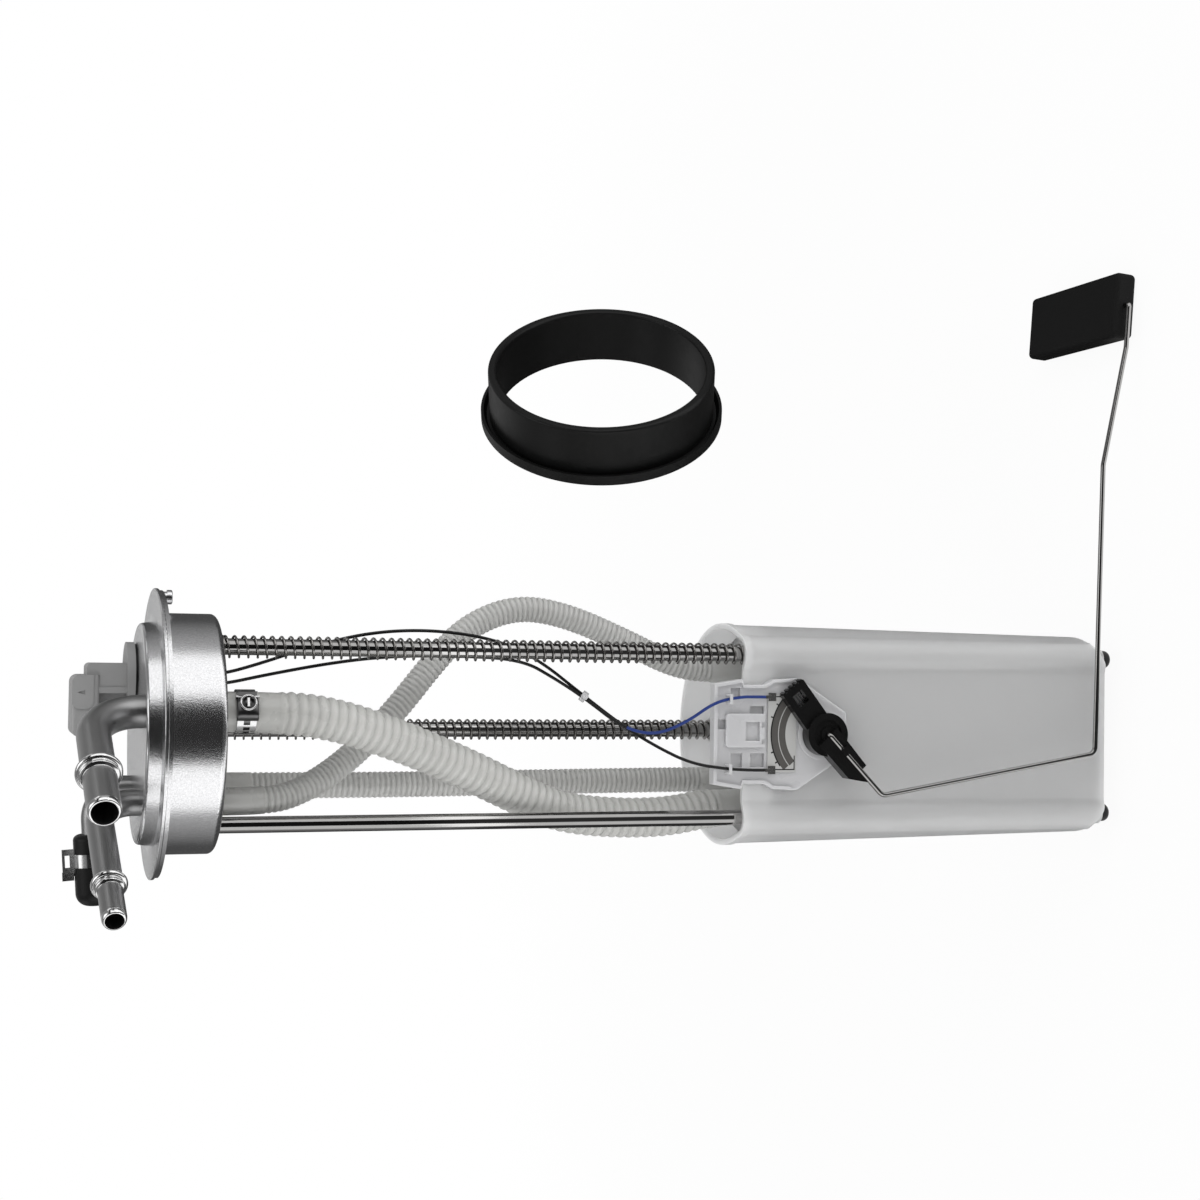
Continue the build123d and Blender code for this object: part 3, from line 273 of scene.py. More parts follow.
def card(name, place, target, width, height, shade, far_shade=None):
    """A card that only shows in reflections, as a studio puts beside bright metal.

    With a far shade it fades to that shade along its own X.
    """
    mesh = bpy.data.meshes.new(name)
    x, y = width / 2, height / 2
    mesh.from_pydata([(-x, -y, 0), (x, -y, 0), (x, y, 0), (-x, y, 0)], [], [(0, 1, 2, 3)])
    panel = bpy.data.objects.new(name, mesh)
    bpy.context.scene.collection.objects.link(panel)
    surface = bpy.data.materials.new(name)
    tree = node_tree(surface)
    grey = tree.nodes.new("ShaderNodeEmission")
    grey.inputs["Color"].default_value = plain_white
    grey.inputs["Strength"].default_value = shade
    if far_shade is not None:
        where = tree.nodes.new("ShaderNodeTexCoord")
        parts = tree.nodes.new("ShaderNodeSeparateXYZ")
        tree.links.new(where.outputs["Object"], parts.inputs[0])
        fade = ramp(tree, parts.outputs["X"], (-x, x), (shade, far_shade))
        tree.links.new(fade, grey.inputs["Strength"])
    out = tree.nodes.new("ShaderNodeOutputMaterial")
    tree.links.new(grey.outputs[0], out.inputs[0])
    mesh.materials.append(surface)
    panel.visible_camera = False
    panel.visible_diffuse = False
    panel.visible_shadow = False
    panel.visible_transmission = False
    aim(panel, place, target)
    panel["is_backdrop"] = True


def round_about(turn, reach, z):
    """A place at some distance from the module's long axis."""
    angle = math.radians(turn)
    return Vector((reach * math.sin(angle), -reach * math.cos(angle), z))


def span(reach, half_turn):
    """Width that covers an angle to both sides at some distance."""
    return 2 * reach * math.tan(math.radians(half_turn))


def studio():
    """Two broad soft lamps in front, one overhead, and cards that shape what bright metal shows."""
    middle = studio_middle
    lamp_width = span(lamp_reach, lamp_half_turn)
    board_width = span(board_reach, board_half_turn)
    for side, turn in lamp_turns.items():
        place = round_about(turn, lamp_reach, lamp_height)
        lamp("lamp_" + side, place, middle, lamp_width, lamp_length, lamp_strength)
        place = round_about(turn * board_turn_share, board_reach, middle.z)
        card("board_" + side, place, middle, board_width, board_length, front_shade)
        sign = 1 if turn > 0 else -1
        fade_turn = turn + sign * (lamp_half_turn + fade_half_turn)
        shades = (fade_shade, side_shade) if sign > 0 else (side_shade, fade_shade)
        place = round_about(fade_turn, fade_reach, fade_height)
        card("fade_" + side, place, middle, span(fade_reach, fade_half_turn), fade_length, *shades)
    lamp("lamp_top", (0.1, -0.2, 1.1), middle, 0.8, 0.8, lamp_strength)
    lamp("lamp_back", (0.0, 1.2, 0.4), middle, 1.2, 0.8, lamp_strength / 4)
    card("card_front", (0.1, -1.3, -0.2), middle, 1.6, 3.0, front_shade)
    card("card_back_low", (0.0, 1.35, -0.7), (0.0, 0.0, -0.5), 4.0, 1.9, side_shade)
    card("card_back_high", (0.0, 1.3, 0.85), (0.0, 0.0, 0.1), 4.0, 1.3, back_shade)
    card("card_top", (0.0, 0.0, 1.4), middle, 3.0, 3.0, top_shade)
    floor_glints()


def floor_glints():
    """A card on the floor that carries the two lamps' reflections on down to the module's foot."""
    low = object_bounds()[0].z
    size = 3.6
    card("card_low", (0.0, 0.0, low - floor_gap * MM / 2), (0.0, 0.0, 0.0), size, size, low_shade)
    tree = bpy.data.materials["card_low"].node_tree
    place = tree.nodes.new("ShaderNodeNewGeometry")
    parts = tree.nodes.new("ShaderNodeSeparateXYZ")
    tree.links.new(place.outputs["Position"], parts.inputs[0])
    front = math_node(tree, "MULTIPLY", parts.outputs["Y"], -1.0)
    angle = math_node(tree, "ARCTAN2", parts.outputs["X"], front)
    edge = [math.radians(lamp_half_turn + side * glint_blur) for side in (-1, 1)]
    glints = []
    for turn in lamp_turns.values():
        off = math_node(tree, "ABSOLUTE", math_node(tree, "SUBTRACT", angle, math.radians(turn)))
        glints.append(ramp(tree, off, edge, (lamp_strength, low_shade)))
    grey = [node for node in tree.nodes if node.type == "EMISSION"][0]
    tree.links.new(math_node(tree, "MAXIMUM", *glints), grey.inputs["Strength"])


# Materials

# Colour, roughness, metallic, mottle and its size, grain and its size, wear
finish_table = {
    "cover_steel": ((0.74, 0.74, 0.75), 0.22, 1.0, 0.30, 0.55, 0.30, 0.6, 0.04),
    "pipe_steel": ((0.38, 0.38, 0.38), 0.36, 1.0, 0.04, 9, 0.1, 0.6, 0.03),
    "bead_steel": ((0.80, 0.80, 0.80), 0.15, 1.0, 0.04, 3, 0.03, 0.3, 0.03),
    "dark_steel": ((0.14, 0.14, 0.14), 0.30, 1.0, 0.15, 2, 0.1, 0.3, 0.05),
    "rod_steel": ((0.34, 0.335, 0.33), 0.07, 1.0, 0.05, 6, 0.05, 0.3, 0.02),
    "spring_steel": ((0.32, 0.31, 0.30), 0.20, 1.0, 0.12, 3, 0.1, 0.2, 0.05),
    "clip_steel": ((0.74, 0.74, 0.74), 0.16, 1.0, 0.06, 4, 0.1, 0.2, 0.05),
    "black_rubber": ((0.005, 0.005, 0.005), 0.42, 0.0, 0.15, 5, 0.15, 0.3, 0.06),
    "grey_plastic": ((0.30, 0.30, 0.30), 0.45, 0.0, 0.05, 6, 0.2, 0.25, 0.05),
    "milky_plastic": ((0.70, 0.705, 0.71), 0.30, 0.0, 0.02, 30, 0.06, 1.2, 0.04),
    "white_plastic": ((0.56, 0.56, 0.57), 0.28, 0.0, 0.03, 12, 0.06, 0.8, 0.04),
    "black_plastic": ((0.006, 0.006, 0.006), 0.24, 0.0, 0.1, 4, 0.1, 0.2, 0.06),
    "hose_plastic": ((0.56, 0.56, 0.54), 0.28, 0.0, 0.05, 15, 0.08, 0.8, 0.05),
    "terminal_brass": ((0.86, 0.85, 0.83), 0.20, 1.0, 0.1, 2, 0.1, 0.2, 0.05),
    "ceramic_card": ((0.46, 0.46, 0.45), 0.35, 0.0, 0.03, 4, 0.1, 0.2, 0.04),
    "wire_black": ((0.006, 0.006, 0.006), 0.30, 0.0, 0.1, 4, 0.05, 0.2, 0.05),
    "wire_blue": ((0.012, 0.035, 0.19), 0.30, 0.0, 0.1, 4, 0.05, 0.2, 0.05),
    "filter_mesh": ((0.5, 0.5, 0.48), 0.6, 0.0, 0.1, 2, 0.5, 0.4, 0.05),
    "float_foam": ((0.006, 0.006, 0.006), 0.65, 0.0, 0.15, 3, 0.3, 0.5, 0.06),
    "carbon_ink": ((0.085, 0.08, 0.075), 0.45, 0.0, 0.1, 2, 0.1, 0.1, 0.05),
    "dark_ink": ((0.008, 0.008, 0.008), 0.5, 0.0, 0.1, 2, 0.1, 0.1, 0.05),
}
# Translucency and its reach, sheen, and a painted shade where a colour falls off with height
finish_extras = {
    "black_rubber": {"sheen": 0.25},
    "milky_plastic": {"soft": 1.0, "reach": 14.0},
    "white_plastic": {"soft": 0.8, "reach": 3.0},
    "black_plastic": {"sheen": 0.4},
    # The hose's painted shade darkens its colour towards the cover, in place of the steel nipples
    # seen through the cuffs
    "hose_plastic": {"soft": 0.9, "reach": 4.0, "painted_shade": (-75.0, -40.0, 0.8)},
    "wire_black": {"sheen": 0.4},
    "wire_blue": {"sheen": 0.4},
    "float_foam": {"sheen": 0.15},
}
least_roughness = 0.02


def painted_shade_by_height(tree, place, color, low, high, share):
    """A painted shade: a colour that falls to a share of itself between two heights, in millimetres.
    """
    parts = tree.nodes.new("ShaderNodeSeparateXYZ")
    tree.links.new(place, parts.inputs[0])
    fade = ramp(tree, parts.outputs["Z"], (low * MM, high * MM), (1.0, share), smooth=True)
    scale = tree.nodes.new("ShaderNodeVectorMath")
    scale.operation = "SCALE"
    tree.links.new(color, scale.inputs[0])
    tree.links.new(fade, scale.inputs["Scale"])
    return scale.outputs["Vector"]


def look(name, color, roughness, metallic, mottle, mottle_size, grain, grain_size, worn,
         soft=0.0, reach=4.0, sheen=0.5, painted_shade=None):
    """A finish with mottled colour, grain in its relief and uneven gloss; sizes in millimetres.

    painted_shade holds two heights and a share: the colour falls to that share above the second
    height, as painted shade.
    """
    made = bpy.data.materials.new(name)
    tree = node_tree(made)
    new, link = tree.nodes.new, tree.links.new
    shader = new("ShaderNodeBsdfPrincipled")
    out = new("ShaderNodeOutputMaterial")
    link(shader.outputs[0], out.inputs[0])
    shader.inputs["Metallic"].default_value = metallic
    shader.inputs["Subsurface Weight"].default_value = soft
    shader.inputs["Subsurface Scale"].default_value = reach * MM
    shader.inputs["Subsurface Radius"].default_value = (1.0, 1.0, 1.0)
    shader.inputs["Specular IOR Level"].default_value = sheen
    where = new("ShaderNodeTexCoord")
    blotch = new("ShaderNodeTexNoise")
    blotch.inputs["Scale"].default_value = 1 / (mottle_size * MM)
    blotch.inputs["Detail"].default_value = 4.0
    link(where.outputs["Object"], blotch.inputs["Vector"])
    shade = ramp(tree, blotch.outputs["Fac"], (0.0, 1.0), (1 - mottle, 1 + mottle))
    tint = new("ShaderNodeVectorMath")
    tint.operation = "SCALE"
    tint.inputs[0].default_value = color
    link(shade, tint.inputs["Scale"])
    shown = tint.outputs["Vector"]
    # Painted shade: the colour falls off above a height
    if painted_shade:
        shown = painted_shade_by_height(tree, where.outputs["Object"], shown, *painted_shade)
    gloss_ends = (max(least_roughness, roughness - worn), roughness + worn)
    gloss = ramp(tree, blotch.outputs["Fac"], (0.0, 1.0), gloss_ends)
    link(shown, shader.inputs["Base Color"])
    link(gloss, shader.inputs["Roughness"])
    fine = new("ShaderNodeTexNoise")
    fine.inputs["Scale"].default_value = 1 / (grain_size * MM)
    fine.inputs["Detail"].default_value = 3.0
    link(where.outputs["Object"], fine.inputs["Vector"])
    relief = new("ShaderNodeBump")
    relief.inputs["Strength"].default_value = grain
    relief.inputs["Distance"].default_value = grain_size * MM / 4
    link(fine.outputs["Fac"], relief.inputs["Height"])
    link(relief.outputs["Normal"], shader.inputs["Normal"])
    return made


def finishes():
    """Every finish of the module, by material slot, and the inks on the resistor card."""
    return {
        name: look(name, *row, **finish_extras.get(name, {}))
        for name, row in finish_table.items()
    }


def dress(finish):
    """Give every solid the finish of its slot."""
    for row in frame["record"]["subparts"]:
        thing = nodes[row["node"]]
        thing.data.materials.clear()
        thing.data.materials.append(finish[row["material_slot"]])


# Forms that follow a line

def add_mesh(name, points, faces, finish, smooth=True):
    """A new mesh object with one finish."""
    mesh = bpy.data.meshes.new(name)
    mesh.from_pydata([tuple(p) for p in points], [], faces)
    mesh.polygons.foreach_set("use_smooth", [smooth] * len(mesh.polygons))
    mesh.materials.append(finish)
    mesh.update()
    thing = bpy.data.objects.new(name, mesh)
    bpy.context.scene.collection.objects.link(thing)
    return thing


def smooth_line(route):
    """Points close together on the smooth line that a route steers, in metres."""
    curve = bpy.data.curves.new("line", "CURVE")
    curve.dimensions = "3D"
    spline = curve.splines.new("NURBS")
    spline.points.add(len(route) - 1)
    for point, place in zip(spline.points, route):
        point.co = (*(Vector(place) * MM), 1)
    spline.order_u = 3
    spline.use_endpoint_u = True
    spline.resolution_u = 24
    holder = bpy.data.objects.new("line", curve)
    mesh = bpy.data.meshes.new_from_object(holder)
    line = np.array([v.co for v in mesh.vertices])
    bpy.data.objects.remove(holder)
    bpy.data.curves.remove(curve)
    bpy.data.meshes.remove(mesh)
    return line


def even(line, step):
    """The same line with points at even steps, and how far along it each lies."""
    runs = np.linalg.norm(np.diff(line, axis=0), axis=1)
    along = np.concatenate([[0.0], np.cumsum(runs)])
    count = max(2, int(round(along[-1] / step)) + 1)
    places = np.linspace(0, along[-1], count)
    return np.stack([np.interp(places, along, line[:, i]) for i in range(3)], axis=1), places


def frames(line):
    """Two directions across the line at each point, carried along it without twist."""
    ways = np.gradient(line, axis=0)
    ways /= np.linalg.norm(ways, axis=1)[:, None]
    across = np.cross(ways[0], (0.0, 1.0, 0.0))
    across /= np.linalg.norm(across)
    first = []
    for way in ways:
        across = across - way * np.dot(across, way)
        across /= np.linalg.norm(across)
        first.append(across.copy())
    first = np.array(first)
    return first, np.cross(ways, first)


def tube(name, line, radii, finish, sides=16, bore=0.0):
    """A round bar whose radius varies along a line, with closed or bored ends."""
    first, second = frames(line)
    rings = [(line, radii, range(len(line)))]
    if bore:
        inner = np.full(len(line), bore)
        rings.append((line, inner, range(len(line) - 1, -1, -1)))
    points = []
    for places, widths, order in rings:
        for i in order:
            for k in range(sides):
                turn = 2 * math.pi * k / sides
                side = math.cos(turn) * first[i] + math.sin(turn) * second[i]
                points.append(places[i] + widths[i] * side)
    count = len(points) // sides
    faces = []
    for i in range(count - 1):
        for k in range(sides):
            n = (k + 1) % sides
            faces.append((i * sides + k, i * sides + n, (i + 1) * sides + n, (i + 1) * sides + k))
    if bore:
        last = (count - 1) * sides
        for k in range(sides):
            n = (k + 1) % sides
            faces.append((last + k, last + n, n, k))
    else:
        faces.append(tuple(reversed(range(sides))))
        faces.append(tuple(range((count - 1) * sides, count * sides)))
    return add_mesh(name, points, faces, finish)


# Places read from the solids
can_floor = box_of("can")[0].z


def follows_slide(thing):
    """Leaves a hose or wire where it is drawn, its placement baked into its mesh."""
    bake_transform(thing)


# Springs
spring_turns = 62
spring_wire = 1.0
spring_r = 4.3
end_turns = 1.0
spring_samples = 20


def spring(node, finish):
    """A coil spring with closed end turns, in place of its plain solid."""
    low, high = box_of(node)
    middle = (low + high) / 2
    turn_count = spring_turns + 2
    wire_r = spring_wire / 2
    length = high.z - low.z - spring_wire
    pitch = (length - 2 * end_turns * spring_wire) / (turn_count - 2 * end_turns)
    line = []
    for i in range(turn_count * spring_samples + 1):
        turns = i / spring_samples
        ends = min(turns, end_turns) + max(0.0, turns - (turn_count - end_turns))
        open_turns = turns - ends
        closed_height = ends * spring_wire
        z = low.z + wire_r + open_turns * pitch + closed_height
        angle = 2 * math.pi * turns
        line.append((middle.x + spring_r * math.cos(angle), middle.y + spring_r * math.sin(angle), z))
    line = np.array(line) * MM
    coil = tube(node + "_coil", line, np.full(len(line), wire_r * MM), finish, 8)
    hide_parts(node)
    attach(coil, "flange")
    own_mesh(coil)


# Routes of the hoses and wires, as the solids have them
feed_route = [
    (10.0, -31.0, -22.2),
    (10.0, -31.0, -47.0),
    (7.0, -28.2, -68.5),
    (-1.2, -22.8, -94.5),
    (-13.0, -15.6, -124.5),
    (-24.5, -9.0, -149.5),
    (-34.0, -4.8, -171.0),
    (-37.4, -2.0, -197.0),
    (-37.6, 0.6, -225.0),
    (-33.6, 3.2, -247.0),
    (-33.6, 3.2, -265.0),
]
return_route = [
    (-27.2, -15.0, -22.2),
    (-27.2, -15.0, -40.0),
    (-25.4, -10.5, -54.0),
    (-16.5, -2.5, -72.0),
    (-2.5, 4.0, -89.5),
    (13.5, 7.8, -104.5),
    (31.5, 10.0, -119.0),
    (47.0, 11.6, -134.0),
    (56.0, 12.0, -156.0),
    (53.0, 12.2, -179.0),
    (42.0, 12.4, -207.0),
    (30.6, 12.6, -232.0),
    (28.6, 12.6, -249.0),
    (28.6, 12.6, -265.0),
]
vent_route = [
    (-23.5, 23.0, -22.2),
    (-23.5, 23.0, -52.0),
    (-23.7, 24.4, -110.0),
    (-23.0, 25.2, -180.0),
    (-22.4, 24.4, -240.0),
    (-22.4, 24.4, -265.0),
]
black_route = [
    (22.6, 9.25, 2.9),
    (22.6, 9.25, -3.0),
    (24.4, 8.6, -14.0),
    (24.5, 8.2, -26.0),
    (29.0, -1.0, -40.0),
    (36.0, -12.6, -58.0),
    (43.2, -15.8, -84.0),
    (44.8, -16.0, -112.0),
    (41.2, -13.2, -140.0),
    (33.0, -12.0, -159.5),
    (17.2, -14.4, -180.0),
    (4.0, -17.4, -197.5),
    (-4.6, -22.6, -211.0),
    (-11.6, -31.4, -224.0),
    (-13.9, -33.6, -240.0),
    (-14.6, -32.6, -252.0),
    (-14.6, -32.6, -258.5),
]
blue_route = [
    (22.6, 14.75, 2.9),
    (22.6, 14.75, -3.0),
    (20.6, 9.4, -14.0),
    (20.2, 7.8, -26.0),
    (24.6, -0.6, -43.5),
    (30.0, -9.8, -69.0),
    (33.2, -12.6, -93.0),
    (33.8, -12.9, -123.0),
    (32.6, -12.6, -152.0),
    (24.4, -14.2, -167.0),
    (16.4, -16.4, -179.5),
    (3.6, -20.0, -196.0),
    (0.2, -24.0, -210.0),
    (6.6, -31.0, -222.5),
    (15.4, -34.0, -234.0),
    (17.6, -33.2, -247.0),
    (17.6, -32.6, -252.5),
    (17.6, -32.6, -258.5),
]
sleeve_foot = -198.0
wire_d = 1.4

# Outer and inner diameter, cuffs at the top and foot, their drop, pitch and depth of the ribs
feed_form = (17.9, 12.9, (21.0, 14.0), 0.7, 4.0, 0.9)
thin_form = (11.5, 9.7, (17.8, 14.0), 0.0, 2.4, 0.5)
rib_roundness = 0.6


def hose(node, route, outer_d, bore_d, cuff, cuff_drop, rib_pitch, rib_depth, finish):
    """A corrugated hose with smooth cuffs at both ends; sizes in millimetres."""
    line, along = even(smooth_line(route), rib_pitch / 10 * MM)
    along = along / MM
    total = along[-1]
    past_top = np.clip((along - cuff[0]) / rib_pitch, 0, 1)
    inside = past_top * np.clip((total - cuff[1] - along) / rib_pitch, 0, 1)
    wave = 0.5 - 0.5 * np.cos(2 * math.pi * (along - cuff[0]) / rib_pitch)
    ribs = wave**rib_roundness
    radius = outer_d / 2 - (1 - inside) * cuff_drop - inside * rib_depth * (1 - ribs)
    pipe = tube(node + "_corrugated", line, radius * MM, finish, 40, bore_d / 2 * MM)
    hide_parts(node)
    follows_slide(pipe)


def wire(node, route, diameter, finish, sleeve=None):
    """An insulated wire along its route, dark above the sleeve's foot where it has a sleeve."""
    line = even(smooth_line(route), 1.0 * MM)[0]
    strand = tube(node + "_strand", line, np.full(len(line), diameter / 2 * MM), finish, 12)
    if sleeve:
        strand.data.materials.append(sleeve)
        for face in strand.data.polygons:
            face.material_index = int(face.center.z > sleeve_foot * MM)
    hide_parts(node)
    follows_slide(strand)


# Open pipes, in millimetres: tube, body behind the bead, shoulder, bead, mouth and bend
pipe_forms = {
    "feed_pipe": (12.7, 13.3, 15.2, 17.8, 9.9, 19.0),
    "return_pipe": (9.525, 10.8, 11.4, 14.0, 7.2, 14.0),
}
bead_width = 3.0
shoulder_length = 1.6
shoulder_ramp = 1.0
pipe_lip = 0.4
nose_length = 2.4
nose_drop = 1.0
bead_fullness = 2.0


def pipe_stations(shoulder, total):
    """Distances behind a pipe's tip where its outline is drawn, close together at its forms."""
    stations = [0.1 * i for i in range(int(nose_length * 10) + 2)]
    stations += list(np.arange(nose_length + 1.0, shoulder - shoulder_ramp, 2.0))
    forms_end = shoulder + shoulder_length + bead_width
    stations += list(np.arange(shoulder - shoulder_ramp, forms_end + 0.1, 0.1))
    stations += list(np.arange(forms_end + 0.8, total, 0.8))
    return np.array(stations + [total])


def pipe_radius(back, shoulder, form):
    """Outer radius at a distance behind the tip: nose, tube, shoulder, bead and body."""
    tube_r, body_r, shoulder_r, bead_r = [size / 2 for size in form[:4]]
    if back < nose_length:
        share = (nose_length - back) / nose_length
        return tube_r - nose_drop * (1 - math.sqrt(1 - share**2))
    if back < shoulder:
        share = max(0.0, (back - shoulder + shoulder_ramp) / shoulder_ramp)
        return tube_r + (shoulder_r - tube_r) * math.sin(share * math.pi / 2)
    if back < shoulder + shoulder_length:
        return shoulder_r
    share = (back - shoulder - shoulder_length) / bead_width
    if share >= 1:
        return body_r
    low_r = shoulder_r if share < 0.5 else body_r
    full = (1 - abs(2 * share - 1) ** bead_fullness) ** (1 / bead_fullness)
    return low_r + (bead_r - low_r) * full


def bent_line(foot, knee, tip, bend, stations):
    """Places on a bent pipe's middle line at distances behind its tip."""
    rise = (knee - foot).normalized()
    run = (tip - knee).normalized()
    turn = rise.angle(run)
    reach = bend * math.tan(turn / 2)
    axis = rise.cross(run).normalized()
    arc_end = knee + run * reach
    spoke = run.cross(axis) * bend
    straight = (tip - arc_end).length
    places = []
    for back in stations:
        if back < straight:
            places.append(tip - run * back)
        elif back < straight + bend * turn:
            angle = (straight - back) / bend
            places.append(arc_end - spoke + Matrix.Rotation(angle, 3, axis) @ spoke)
        else:
            places.append(knee - rise * (reach + back - straight - bend * turn))
    return np.array(places), straight + bend * turn + (knee - foot).length - reach


def open_pipe(name, mount_name, route, nipple_foot, finish):
    """A bent pipe with its rolled bead, shoulder and rounded nose, in place of the plain solid."""
    form = pipe_forms[name]
    mount = [m for m in frame["record"]["mounts"] if m["name"] == mount_name][0]
    way = Vector(mount["axis"])
    half = mount["dims"]["length_mm"] / 2
    tip = Vector(mount["pos_m"]) / MM + way * (half + pipe_lip)
    shoulder = 2 * half + pipe_lip
    place = Vector(route[0])
    knee = tip - way * ((tip.x - place.x) / way.x)
    foot = Vector((place.x, place.y, nipple_foot))
    total = bent_line(foot, knee, tip, form[5], [])[1]
    stations = pipe_stations(shoulder, total)
    line = bent_line(foot, knee, tip, form[5], stations)[0]
    radii = np.array([pipe_radius(back, shoulder, form) for back in stations])
    radii[line[:, 2] < can_floor] = form[0] / 2
    sides = 64
    pipe = tube(name + "_bent", line * MM, radii * MM, finish["pipe_steel"], sides, form[4] / 2 * MM)
    pipe.data.materials.append(finish["bead_steel"])
    forms_end = shoulder + shoulder_length + bead_width
    for face in pipe.data.polygons:
        ring = min(vert // sides for vert in face.vertices)
        back = stations[ring] if ring < len(stations) else total
        in_bead = shoulder - shoulder_ramp <= back <= forms_end
        face.material_index = int(back <= nose_length or in_bead)
    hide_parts(name)
    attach(pipe, "flange")


# Hose clamp, in millimetres
clamp_turn = 20.0
band_width = 7.6
band_thickness = 0.6
band_slots = 20
band_slot_half = 1.3
slot_shares = (0.0, 0.1, 0.19, 0.4, 0.6, 0.81, 0.9, 1.0)
band_drop = 0.5
saddle_half = (4.4, 4.3)
saddle_rise = 2.0
saddle_height = 3.1
screw_head_r = 3.5
screw_foot = 2.2
screw_top = 4.0
slot_shade_depths = (0.05, 0.25)
slot_shade_inset = 0.3
saddle_corner = 6
saddle_round = 2.6
saddle_fall = 22.0
saddle_sink = 0.6
clamp_lips = {
    "clamp_lip": ((-4.5, -3.3, -1.0), (4.5, -2.6, 1.5), "clip_steel"),
    # A dark plate below the lip, as painted shade in the gap under the band
    "clamp_shade_plate": ((-3.9, -5.6, -1.4), (3.9, -3.3, 0.3), "dark_steel"),
}
lip_edge = 0.25
bar_size = (0.9, 3.7, 0.7)
bar_drop = 0.8
bar_edge = 0.15


def closed_mesh(name, mesh, finish, smooth=True):
    """An object from a bmesh, with its normals set outward."""
    bmesh.ops.recalc_face_normals(mesh, faces=mesh.faces)
    data = bpy.data.meshes.new(name)
    mesh.to_mesh(data)
    mesh.free()
    data.polygons.foreach_set("use_smooth", [smooth] * len(data.polygons))
    data.materials.append(finish)
    thing = bpy.data.objects.new(name, data)
    bpy.context.scene.collection.objects.link(thing)
    return thing


def clamp_frame():
    """Turns the clamp's own places, with x towards the cover and z outward, into the part's frame."""
    low, high = box_of("clamp_band")
    angle = math.radians(clamp_turn)
    way = Vector((math.sin(angle), -math.cos(angle), 0))
    middle = (low + high) / 2 + way * ((high.x - low.x) / 2 - band_drop)
    up = Vector((0, 0, 1))
    turn = Matrix((up, way.cross(up), way)).transposed().to_4x4()
    return Matrix.Scale(MM, 4) @ Matrix.Translation(middle) @ turn


def clamp_strap(finish):
    """The band, with its row of slots that the screw's thread catches, and a dark sheet under it that
    shows through the slots as painted shade.
    """
    low, high = box_of("clamp_band")
    middle = (low + high) / 2
    outer_r = (high.x - low.x) / 2 - band_drop
    heights = (-band_width / 2, -band_slot_half, band_slot_half, band_width / 2)
    turns = []
    for slot in range(band_slots):
        turns += [(slot + share) * 2 * math.pi / band_slots for share in slot_shares[:-1]]
    mesh = bmesh.new()
    rows = []
    for turn in turns:
        side = middle + Vector((math.cos(turn), math.sin(turn), 0)) * outer_r
        rows.append([mesh.verts.new((side + Vector((0, 0, height))) * MM) for height in heights])
    cells = len(slot_shares) - 1
    for i, row in enumerate(rows):
        after = rows[(i + 1) % len(rows)]
        for k in range(3):
            in_slot = k == 1 and 2 <= i % cells <= 4
            if not in_slot:
                mesh.faces.new((row[k], after[k], after[k + 1], row[k + 1]))
    bmesh.ops.recalc_face_normals(mesh, faces=mesh.faces)
    bmesh.ops.solidify(mesh, geom=mesh.faces[:], thickness=band_thickness * MM)
    band = closed_mesh("clamp_strap", mesh, finish["clip_steel"], smooth=False)
    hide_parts("clamp_band")
    # A dark sheet under the band, seen through the slots: painted shade
    slot_shade = bmesh.new()
    rows = []
    for turn in turns:
        side = Vector((math.cos(turn), math.sin(turn), 0))
        rows.append([
            slot_shade.verts.new((middle + side * radius + Vector((0, 0, height))) * MM)
            for radius, height in (
                (outer_r - band_thickness - slot_shade_depths[0], heights[0] + slot_shade_inset),
                (outer_r - band_thickness - slot_shade_depths[0], heights[-1] - slot_shade_inset),
                (outer_r - band_thickness - slot_shade_depths[1], heights[-1] - slot_shade_inset),
                (outer_r - band_thickness - slot_shade_depths[1], heights[0] + slot_shade_inset),
            )
        ])
    for i, row in enumerate(rows):
        after = rows[(i + 1) % len(rows)]
        for k in range(4):
            n = (k + 1) % 4
            slot_shade.faces.new((row[k], after[k], after[n], row[n]))
    slot_shade_sheet = closed_mesh("clamp_slot_shade", slot_shade, finish["dark_steel"], smooth=False)
    for piece in (band, slot_shade_sheet):
        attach(piece, "flange")


def saddle(finish):
    """The pressed steel saddle that carries the screw, with a bright lip along its lower edge and a
    dark plate below it as painted shade.
    """
    at = clamp_frame()
    steps = 24
    mesh = bmesh.new()
    rows = []
    for i in range(steps + 1):
        row = []
        for k in range(steps + 1):
            u = math.sin((2 * i / steps - 1) * math.pi / 2)
            v = math.sin((2 * k / steps - 1) * math.pi / 2)
            across = max(0.0, 1 - abs(u) ** saddle_corner) ** (1 / saddle_corner)
            round_over = max(0.0, 1 - abs(v) ** saddle_round) ** (1 / saddle_round)
            fall = (v * saddle_half[1]) ** 2 / saddle_fall
            place = Vector((
                u * saddle_half[0],
                v * saddle_half[1] + saddle_rise,
                saddle_height * across * round_over - fall * (1 - round_over) - saddle_sink,
            ))
            row.append(mesh.verts.new(at @ place))
        rows.append(row)
    for i in range(steps):
        for k in range(steps):
            mesh.faces.new((rows[i][k], rows[i + 1][k], rows[i + 1][k + 1], rows[i][k + 1]))
    edge = rows[0] + [row[-1] for row in rows[1:]]
    edge += rows[-1][-2::-1] + [row[0] for row in rows[-2:0:-1]]
    mesh.faces.new(edge)
    body = closed_mesh("clamp_saddle", mesh, finish["dark_steel"])
    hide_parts("clamp_housing")
    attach(body, "flange")
    for name, (low, high, steel) in clamp_lips.items():
        mesh = bmesh.new()
        for vert in bmesh.ops.create_cube(mesh, size=1.0)["verts"]:
            share = vert.co + Vector((0.5, 0.5, 0.5))
            vert.co = at @ Vector([a + (b - a) * s for a, b, s in zip(low, high, share)])
        bmesh.ops.bevel(mesh, geom=mesh.edges[:], offset=lip_edge * MM, segments=2, affect="EDGES")
        plate = closed_mesh(name, mesh, finish[steel], smooth=False)
        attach(plate, "flange")


